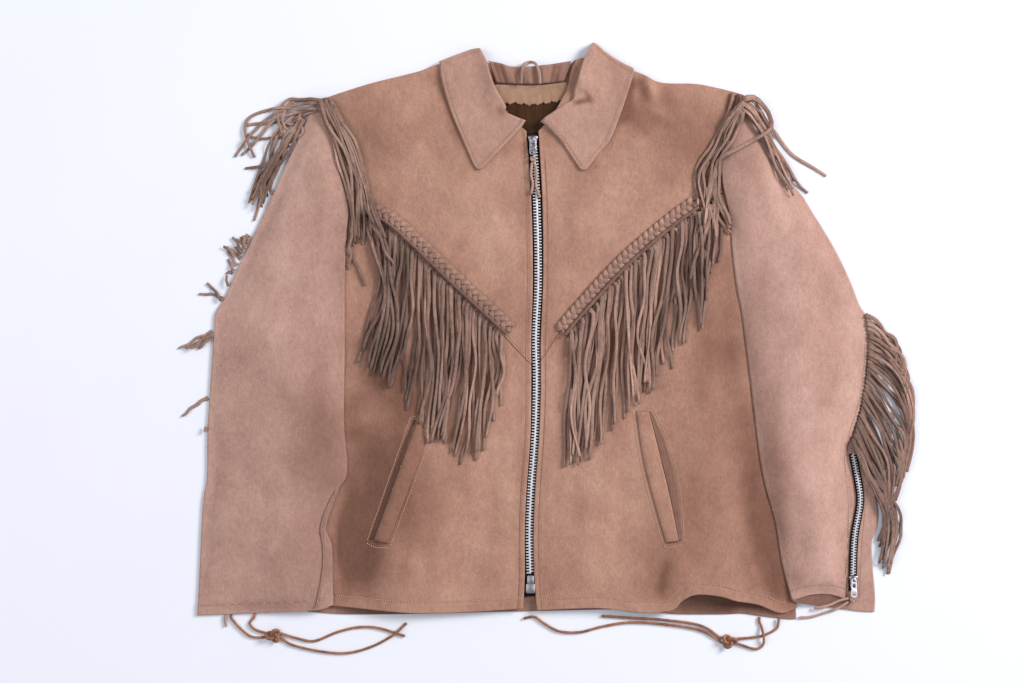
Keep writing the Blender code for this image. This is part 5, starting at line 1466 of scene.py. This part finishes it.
OUT_R = [
    [(-257, 633), (-280, 637), (-299, 639), (-308, 627), (-312, 613), (-311, 598), (-309, 588)],
    [(-257, 629), (-280, 634), (-301, 630), (-308, 615), (-306, 605), (-301, 595)],
    [(-258, 624), (-292, 623), (-329, 621), (-351, 615), (-357, 600), (-352, 585), (-342, 565)],
    [(-257, 631), (-290, 628), (-324, 613), (-346, 593), (-361, 575), (-368, 565)],
    [(-258, 627), (-292, 617), (-321, 608), (-336, 593), (-348, 578), (-360, 567)],
    [(-259, 626), (-290, 620), (-316, 600), (-326, 578), (-331, 560), (-346, 528), (-352, 508)],
    [(-260, 624), (-286, 616), (-309, 598), (-321, 573), (-326, 554), (-341, 533), (-346, 511)],
    [(-284, 613), (-294, 600), (-306, 578), (-316, 560), (-334, 541), (-341, 523), (-346, 512)],
    [(-286, 605), (-302, 593), (-314, 570), (-326, 551), (-334, 531), (-336, 516), (-339, 501)],
    [(-291, 598), (-307, 583), (-319, 563), (-329, 541), (-332, 521), (-334, 502)],
    [(-294, 593), (-309, 575), (-324, 560), (-341, 553), (-355, 549)],
    [(-296, 588), (-312, 570), (-321, 548), (-329, 528), (-326, 516)],
    [(-301, 580), (-317, 563), (-334, 538), (-343, 528), (-347, 523)],
    [(-304, 575), (-312, 556), (-321, 536), (-334, 516), (-341, 498), (-346, 486)],
    [(-309, 568), (-319, 548), (-324, 531), (-322, 518)],
    [(-283, 622), (-287, 613), (-283, 595), (-294, 585)],
    [(-284, 604), (-308, 606), (-334, 608), (-355, 603)],
    [(-291, 590), (-320, 588), (-342, 588), (-353, 593)],
    [(-310, 560), (-324, 546), (-334, 531), (-341, 516)],
    [(-282, 610), (-294, 586), (-307, 565), (-317, 542), (-327, 524), (-335, 508)],
    [(-284, 612), (-298, 590), (-313, 569), (-325, 546), (-336, 527), (-346, 505)],
]
SLEEVE_ENDS_R = [
    [(-358, 445), (-363, 454), (-370, 466)],
    [(-356, 449), (-358, 458), (-361, 465)],
    [(-355, 453), (-356, 461), (-357, 467)],
    [(-353, 456), (-353, 464), (-353, 469)],
    [(-352, 460), (-351, 464), (-351, 467)],
    [(-361, 439), (-371, 446), (-382, 454)],
    [(-361, 443), (-365, 449), (-368, 453)],
    [(-366, 430), (-373, 440), (-379, 453)],
    [(-370, 423), (-374, 432), (-377, 438)],
    [(-371, 420), (-374, 422), (-379, 420)],
    [(-376, 404), (-378, 412), (-378, 418)],
    [(-384, 386), (-393, 398), (-403, 408)],
    [(-384, 389), (-397, 394), (-413, 394)],
    [(-397, 348), (-415, 339), (-438, 326)],
    [(-397, 343), (-410, 336), (-422, 326)],
    [(-397, 340), (-405, 334), (-413, 326)],
    [(-398, 341), (-413, 334), (-430, 327)],
    [(-402, 265), (-415, 258), (-434, 243)],
    [(-403, 229), (-404, 227), (-405, 223)],
]
SLEEVE_KEYS_L = [
    [(415, 368), (430, 360), (440, 348), (449, 340), (453, 327), (449, 305)],
    [(419, 343), (438, 332), (451, 317), (465, 303), (474, 278), (470, 257)],
    [(419, 322), (440, 310), (456, 290), (469, 263), (474, 213), (467, 160)],
    [(418, 300), (440, 278), (458, 255), (465, 232), (463, 201), (454, 166)],
    [(414, 275), (433, 248), (448, 221), (456, 195), (458, 166), (451, 133)],
    [(411, 253), (428, 223), (440, 191), (448, 164), (445, 139), (438, 102)],
    [(406, 232), (420, 203), (433, 176), (440, 145), (440, 114), (430, 77)],
    [(401, 217), (413, 191), (425, 164), (445, 141), (456, 108), (445, 42)],
    [(399, 213), (410, 186), (423, 159), (435, 133), (440, 95), (433, 56)],
]
welt("shoulder_strip_left", [(251, 644), (249, 634), (246, 623), (242, 610)], 2.2, SEAM_SUEDE)
welt("shoulder_strip_left_inner", [(258, 642), (256, 633), (252, 622)], 2.0)
BUNDLES = (
    # name, solid, routes, width, seed, sway
    ("shoulder_fringe_out_right", "fringe_shoulder_out_r", OUT_R, 4.2, 32, 1.6),
    ("shoulder_fringe_front_right", "fringe_shoulder_front_r",
     between_keys(FRONT_KEYS_R, 17, 31, 5.0, 0.1) + FRONT_LOOSE_R, 3.8, 31, 2.6),
    ("shoulder_fringe_out_left", "fringe_shoulder_out_l",
     between_keys(OUT_KEYS_L, 6, 34, 2.5) + OUT_LOOSE_L, 4.2, 34, 1.4),
    ("shoulder_fringe_front_left", "fringe_shoulder_front_l", FRONT_L, 4.2, 33, 1.0),
    ("sleeve_fringe_left", "fringe_sleeve_l", between_keys(SLEEVE_KEYS_L, 40, 35, trim=0.07),
     4.4, 35, 1.8),
    ("sleeve_fringe_right", "fringe_sleeve_r", SLEEVE_ENDS_R, 4.0, 36, 1.6),
)
for bundle in BUNDLES:
    fringe(*bundle, topmost=1.45 if "front_left" in bundle[0] else 1.0)

# %% [markdown]
# ## Stitching
# The lines are drawn beside the panels' own edges, at the distances at which the panels sink.

# %% Rows of topstitching
CUFF_ZIP_SEAM = [(415, 331), (414, 306), (408, 264), (397, 226), (390, 190), (394, 140), (394, 90),
                 (391, 46)]
sew("stitching_hems", [
    beside_line(HEM_R, HEM_STITCH, (0.13, 1)), beside_line(HEM_L, HEM_STITCH, (0, 0.97)),
    beside_line(YOKE_LOW_R, YOKE_STITCH, (0.86, 1)), beside_line(YOKE_LOW_L, YOKE_STITCH, (0, 0.12)),
])
sew("stitching_beside_zip", [
    beside_line(ZIP_EDGE_LOW_R, ZIP_STITCH), beside_line(ZIP_EDGE_LOW_L, -ZIP_STITCH),
    beside_line(ZIP_EDGE_R, ZIP_STITCH, (0, 0.88)), beside_line(ZIP_EDGE_L, -ZIP_STITCH, (0, 0.88)),
], BROWN_THREAD)
sew("stitching_collar", [
    beside_line(LEAF_LOW_R, 5.4, (0.08, 0.98)), beside_line(LEAF_OUT_R, -5.4, (0.04, 0.96)),
    beside_line(LEAF_LOW_L, 5.4, (0.03, 0.92)), beside_line(LEAF_OUT_L, 5.4, (0.04, 0.96)),
    beside_line(LEAF_LOW_R, 3.6, (0.1, 0.98)), beside_line(LEAF_LOW_L, 3.6, (0.03, 0.9)),
], pitch=2.2)
sew("stitching_cuffs", [
    beside_line(CUFF_R, CUFF_STITCH, (0.01, 0.99)), beside_line(CUFF_L, CUFF_STITCH, (0.03, 0.97)),
    CUFF_ZIP_SEAM, [(418, 150), (414, 110), (411, 70), (409, 15)],
])
sew("stitching_pockets", [
    [(-203, 89), (-149, 242)], [(-174, 83), (-122, 222)], [(-204, 86), (-194, 81), (-176, 80)],
    [(-147, 243), (-136, 240), (-122, 227)], [(163, 85), (144, 150), (133, 198), (126, 250)],
    [(189, 88), (187, 127), (181, 170), (168, 215), (152, 251)],
    [(164, 82), (170, 80), (187, 84)], [(127, 253), (137, 255), (150, 253)],
])

# %% [markdown]
# ## Zip fittings
# A slider is a waisted body with a bridge over it, and its pull tab hangs on the bridge. The tab is a
# flat plate with an oval hole at its top and a slot at its foot, where a thong is tied. Plates are
# stacks of outlines: a smaller one, the full one twice, and a smaller one, which bevels both faces.

# %% Slider, tab and end box
def node_box(solid):
    """A solid's lowest and highest corners, in pattern millimetres."""
    low, high = (np.array(corner) / MM - [SHIFT[0], SHIFT[1], 0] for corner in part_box(solid))
    return low, high


def pulled_in(outline, amount):
    """A closed outline, counter-clockwise, moved inwards at each point by the amount."""
    ahead = directions(np.vstack([outline[-1:], outline, outline[:1]]))[1:-1]
    return outline + amount * left_of(ahead)


def lofted(rings):
    """Points, and their index grid, from rings given as an outline and its height."""
    points = np.vstack([np.column_stack([ring, np.full(len(ring), z)]) for ring, z in rings])
    return points, np.arange(len(points)).reshape(len(rings), -1)


def stacked(outline, low, high, bevel):
    """A closed plate: the outline pulled in by the bevel at its two faces."""
    face = pulled_in(outline, bevel)
    points, index = lofted([(face, low), (outline, low + bevel), (outline, high - bevel),
                            (face, high)])
    return points, walls_of(index).tolist() + [index[0][::-1].tolist(), index[-1].tolist()]


def pierced(outer, inner, low, high, bevel):
    """A closed plate with a hole: outlines from the hole's wall over the lower face to the rim, and
    back over the upper face."""
    face, lip = pulled_in(outer, bevel), pulled_in(inner, -bevel)
    points, index = lofted([(inner, low + bevel), (lip, low), (face, low), (outer, low + bevel),
                            (outer, high - bevel), (face, high), (lip, high), (inner, high - bevel)])
    return points, walls_of(np.vstack([index, index[:1]])).tolist()


def oval(x, y, half_wide, half_long, power=2.4, count=40):
    """A superellipse: each of cos and sin to the power 2 / power, counter-clockwise."""
    turn = 2 * np.pi * np.arange(count) / count
    circle = np.stack([np.cos(turn), np.sin(turn)], axis=-1)
    return [x, y] + np.sign(circle) * np.abs(circle) ** (2 / power) * [half_wide, half_long]


def make_slider(name, solid):
    """A waisted body in two plates, with a bridge from its head to its waist."""
    low, high = node_box(solid)
    x, top, foot = (low[0] + high[0]) / 2, high[1], low[1]
    wide, long = 1.15 * (high[0] - low[0]), top - foot
    turn = np.linspace(0, 1, 15)
    half = wide * np.interp(turn, [0, 0.12, 0.3, 0.62, 0.9, 1], [0.33, 0.37, 0.35, 0.38, 0.5, 0.4])
    side = np.column_stack([half, foot + long * turn])
    outline = np.vstack([side + [x, 0], (side * [-1, 1] + [x, 0])[::-1]])
    waist = outline * [0.9, 1] + [0.1 * x, 0]
    base = low[2]
    arch = np.linspace(0, np.pi, 22)
    run = np.column_stack([np.full(22, x), top - 0.36 * long - 0.28 * long * np.cos(arch),
                           base + 2.2 + (high[2] - base - 3.0) * np.sin(arch) ** 0.7])
    bridge = joined_strips(strip_rings(run, np.full(22, 0.30 * wide), 1.0, np.zeros(22), 0.3)[None])
    parts = [stacked(outline, base, base + 1.2, 0.35), stacked(waist, base + 1.0, base + 1.9, 0.2),
             stacked(outline, base + 1.7, base + 2.8, 0.35), bridge]
    dress(add_piece(name, *joined(parts), FITTING_METAL), solid)


def make_tab(name, solid, body, look, longer):
    """A pull tab: an eye on the bridge, an oval hole below it and a slot at the foot."""
    low, high = node_box(solid)
    x, top, foot = (low[0] + high[0]) / 2, high[1], low[1] - longer
    wide, long = 1.3 * (high[0] - low[0]), top - foot
    parts = []
    for rim, hole, half in (
        (oval(x, top - 3.6, 0.42 * wide, 3.6), oval(x, top - 3.4, 0.22 * wide, 1.9), 0.7),
        (oval(x, top - 0.42 * long, 0.47 * wide, 5.4, 3),
         oval(x, top - 0.40 * long, 0.24 * wide, 2.4), 0.63),
        (oval(x, foot + 5.6, 0.5 * wide, 5.6, 3.4), oval(x, foot + 3.4, 0.33 * wide, 1.0, 3), 0.7),
    ):
        level = (low[2] + high[2]) / 2
        parts.append(pierced(rim, hole, level - half, level + half, 0.3))
    dress(add_piece(name, *joined(parts), look, body), solid)


make_slider("zip_slider_body", "zip_slider")
make_tab("zip_pull_tab", "zip_pull", "zip_tab", FITTING_METAL, 0.0)
make_slider("cuff_slider_body", "cuff_slider")
make_tab("cuff_pull_tab", "cuff_pull", "cuff_tab", ZIP_METAL, 3.0)
low, high = node_box("zip_box")
x = (low[0] + high[0]) / 2
box_parts = [stacked(oval(x, low[1] + 6.2, 5.9, 6.0, 7), low[2], high[2], 0.5),
             stacked(oval(x, low[1] + 17.0, 4.4, 5.2, 7), low[2] + 0.2, high[2] - 0.3, 0.4)]
dress(add_piece("zip_end_box", *joined(box_parts), FITTING_METAL), "zip_box")
print("fittings made")

# %% [markdown]
# ## Knots
# An overhand knot pulled tight looks like a trefoil curve with a thick round section. The curve is
# x = sin t + 2 sin 2t, y = cos t - 2 cos 2t, z = -sin 3t, squeezed into the knot's box.

# %% Knots
THONG, thong_tree, thong_shader, thong_place = new_look("oiled_thong", 0.62, sheen=0.08)
thong_share = weigh(thong_tree, ((noise_at(thong_tree, thong_place, 45), 1.2),
                                 (noise_at(thong_tree, thong_place, 500), 0.8)))
thong_colour = three_tones(thong_tree, thong_share, ((96, 54, 36), (143, 92, 66), (182, 128, 97)), 0.1)
surface(thong_tree, thong_shader, thong_colour, thong_share, 0.5, 0.0005)
PULL_SUEDE = suede("pull_suede", (110, 80, 70), (168, 134, 121), (198, 166, 153), seams=False)


def ring_tube(centre, radius):
    """A round tube of eight-point rings along a closed row of points; its rings turn with the run
    as little as they can, because each side vector is the run's cross with one slanting direction."""
    ahead = np.roll(centre, -1, axis=0) - np.roll(centre, 1, axis=0)
    ahead /= np.linalg.norm(ahead, axis=1, keepdims=True)
    side = np.cross(ahead, [0.31, 0.17, 0.94])
    side /= np.linalg.norm(side, axis=1, keepdims=True)
    up = np.cross(side, ahead)
    turn = 2 * np.pi * np.arange(8)[None, :, None] / 8
    rings = centre[:, None] + radius * (np.cos(turn) * side[:, None] + np.sin(turn) * up[:, None])
    index = np.arange(len(centre) * 8).reshape(-1, 8)
    faces = walls_of(np.vstack([index, index[:1]]))
    a, b, d = rings[0, 0], rings[0, 1], rings[1, 0]
    if np.cross(b - a, d - a) @ (a - centre[0]) < 0:
        faces = faces[:, ::-1]
    return rings.reshape(-1, 3), faces.tolist()


def make_knot(name, solid, radius, look, body="jacket", turned=0.0, full=1.0):
    """The trefoil in its solid's box, which may be filled more fully across."""
    low, high = node_box(solid)
    middle, half = (low + high) / 2, (high - low) / 2 * [full, full, 1.0] - radius
    t = 2 * np.pi * np.arange(72) / 72
    flat = np.stack([np.sin(t) + 2 * np.sin(2 * t), np.cos(t) - 2 * np.cos(2 * t)], axis=-1) / 3
    c, d = np.cos(turned), np.sin(turned)
    flat = flat @ np.array([[c, d], [-d, c]])
    flat /= np.abs(flat).max(axis=0)
    centre = middle + np.column_stack([flat, -np.sin(3 * t)]) * half
    return dress(add_piece(name, *ring_tube(centre, radius), look, body), solid)


knots = {
    "lace_knot_r": make_knot("lace_knot_right", "lace_knot_r", 2.0, THONG, turned=0.5, full=1.3),
    "lace_knot_l": make_knot("lace_knot_left", "lace_knot_l", 2.0, THONG, turned=-0.4, full=1.3),
    "zip_pull_knot": make_knot("zip_pull_knot_tied", "zip_pull_knot", 1.5, PULL_SUEDE, "zip_tab",
                               0.2),
    "cuff_pull_knot": make_knot("cuff_pull_knot_tied", "cuff_pull_knot", 1.5, PULL_SUEDE, "cuff_tab",
                                -0.3),
}
print("knots", sorted(knots))

# %% [markdown]
# ## Laces and thongs
# Two laces come out of the hem on each side, are knotted together and trail over the table; two
# thongs are tied through each pull tab. Each is a round cut thong 3.2 mm thick, laid on what is under
# it, with nothing at its end. The solid model holds the same routes, so the points are repeated here.

# %% Cords
LACE_RADIUS = 1.6
LACES = (
    # name, solid, body, knot, whether it ends at the knot, route
    ("lace_loop_a_right", "lace_loop_a_r", "jacket", "lace_knot_r", True,
     [(-373, -4.3), (-372.5, -9), (-361, -22), (-347, -32), (-328.4, -32.5)]),
    ("lace_loop_b_right", "lace_loop_b_r", "jacket", "lace_knot_r", True,
     [(-344, -3.1), (-344.5, -8), (-350, -15), (-343, -23), (-328.4, -27.5)]),
    ("lace_tail_a_right", "lace_tail_a_r", "jacket", "lace_knot_r", False,
     [(-311.6, -27.5), (-290, -34), (-269, -37), (-241, -26), (-215, -20), (-190, -21), (-157, -31)]),
    ("lace_tail_b_right", "lace_tail_b_r", "jacket", "lace_knot_r", False,
     [(-311.6, -32.5), (-297, -42), (-262, -50), (-229, -52), (-198, -44), (-172, -30), (-155, -15)]),
    ("lace_loop_a_left", "lace_loop_a_l", "jacket", "lace_knot_l", True,
     [(308, -8.8), (307.5, -14), (305, -22), (286, -31), (254.4, -34.5)]),
    ("lace_loop_b_left", "lace_loop_b_l", "jacket", "lace_knot_l", True,
     [(284, -7.4), (284, -13), (287, -21), (289, -40), (279, -47), (254.4, -39.5)]),
    ("lace_tail_a_left", "lace_tail_a_l", "jacket", "lace_knot_l", False,
     [(238.0, -39.5), (211, -24), (167, -16.5), (123, -14), (89, -19), (61, -26), (35, -25), (16, -15),
      (4, -7), (-9, -9)]),
    ("lace_tail_b_left", "lace_tail_b_l", "jacket", "lace_knot_l", False,
     [(237.6, -34.5), (211, -18), (167, -11), (128, -8.7), (88, -6)]),
    ("zip_thong_long", "zip_thong_a", "zip_tab", "zip_pull_knot", False,
     [(0.8, 555.4), (0, 542), (2, 530), (0, 518)]),
    ("zip_thong_short", "zip_thong_b", "zip_tab", "zip_pull_knot", False,
     [(4.8, 555.4), (7, 543), (6, 530), (11, 514)]),
    ("cuff_thong_long", "cuff_thong_a", "cuff_tab", "cuff_pull_knot", False,
     [(394.3, 12.2), (381, 4), (362, -3), (348, -7), (334, -8)]),
    ("cuff_thong_short", "cuff_thong_b", "cuff_tab", "cuff_pull_knot", False,
     [(394.0, 16.6), (384, 14), (370, 8), (352, 4)]),
)


def lay_thong(name, solid, body, route, look):
    """A round thong as a curve of one open spline through points 2 mm apart."""
    count = max(8, round(length_of(route) / 2.0))
    places = (laid_line(route, LACE_RADIUS, count) + [*SHIFT, 0]) * MM
    data = bpy.data.curves.new(name, "CURVE")
    data.dimensions = "3D"
    data.bevel_depth = LACE_RADIUS * MM
    data.bevel_resolution = 3
    data.use_fill_caps = True
    spline = data.splines.new("POLY")
    spline.points.add(count - 1)
    spline.points.foreach_set("co", np.column_stack([places, np.ones(count)]).ravel())
    spline.points.foreach_set("radius", 1 + 0.05 * np.sin(0.9 * np.arange(count)))
    data.materials.append(look)
    piece = bpy.data.objects.new(name, data)
    bpy.context.scene.collection.objects.link(piece)
    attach(piece, body)
    dress(piece, solid)
    length = float(np.linalg.norm(np.diff(places, axis=0), axis=1).sum())
    return piece, tuple(places[0].tolist()), length


for name, solid, body, knot, ends_there, route in LACES:
    tied = body != "jacket"
    look, slot = (PULL_SUEDE, "pull_thong") if tied else (THONG, "thong")
    piece, exit_place, length = lay_thong(name, solid, body, route, look)
    print(name, round(length / MM), "mm")

CUFF_THONG_END_R = [(-380, -4.5), (-380.5, -11), (-379, -19)]
lay_thong("cuff_thong_end_right", "cuff_thong_end_r", "jacket", CUFF_THONG_END_R, PULL_SUEDE)
HANGER_LOOP = [(-12, 655), (-11.5, 668), (-8, 679), (-1, 683), (6, 678), (10, 668), (11.5, 655)]
STRAP_WIDTH, STRAP_THICK = 3.6, 1.5
strap = along(HANGER_LOOP, np.linspace(0, 1, 70))
strap = np.column_stack([strap, resting_height(strap, STRAP_WIDTH) + 0.8])
strap_rings = strip_rings(strap, np.full(70, STRAP_WIDTH), STRAP_THICK, np.zeros(70))
dress(add_piece("hanger_loop_strap", *joined_strips(strap_rings[None]), PULL_SUEDE), "hanger_loop")

# %% [markdown]
# The area comes from the same outline that draws the panel.


# %% [markdown]
# ## The floor
# The jacket lies on a plain pale board. It belongs to the studio and not to the jacket.

# %% Floor and finish
BOARD, board_tree, board_shader, board_place = new_look("pale_board", 0.85)
board_share = noise_at(board_tree, board_place, 3.0)
board_colour = blend_colours(board_tree, board_share, shade((230, 232, 242)), shade((236, 238, 247)))
board_tree.links.new(board_colour, board_shader.inputs["Base Color"])
bpy.ops.mesh.primitive_plane_add(size=6)
floor = bpy.context.object
floor.name = "pale_floor"
floor.data.materials.append(BOARD)
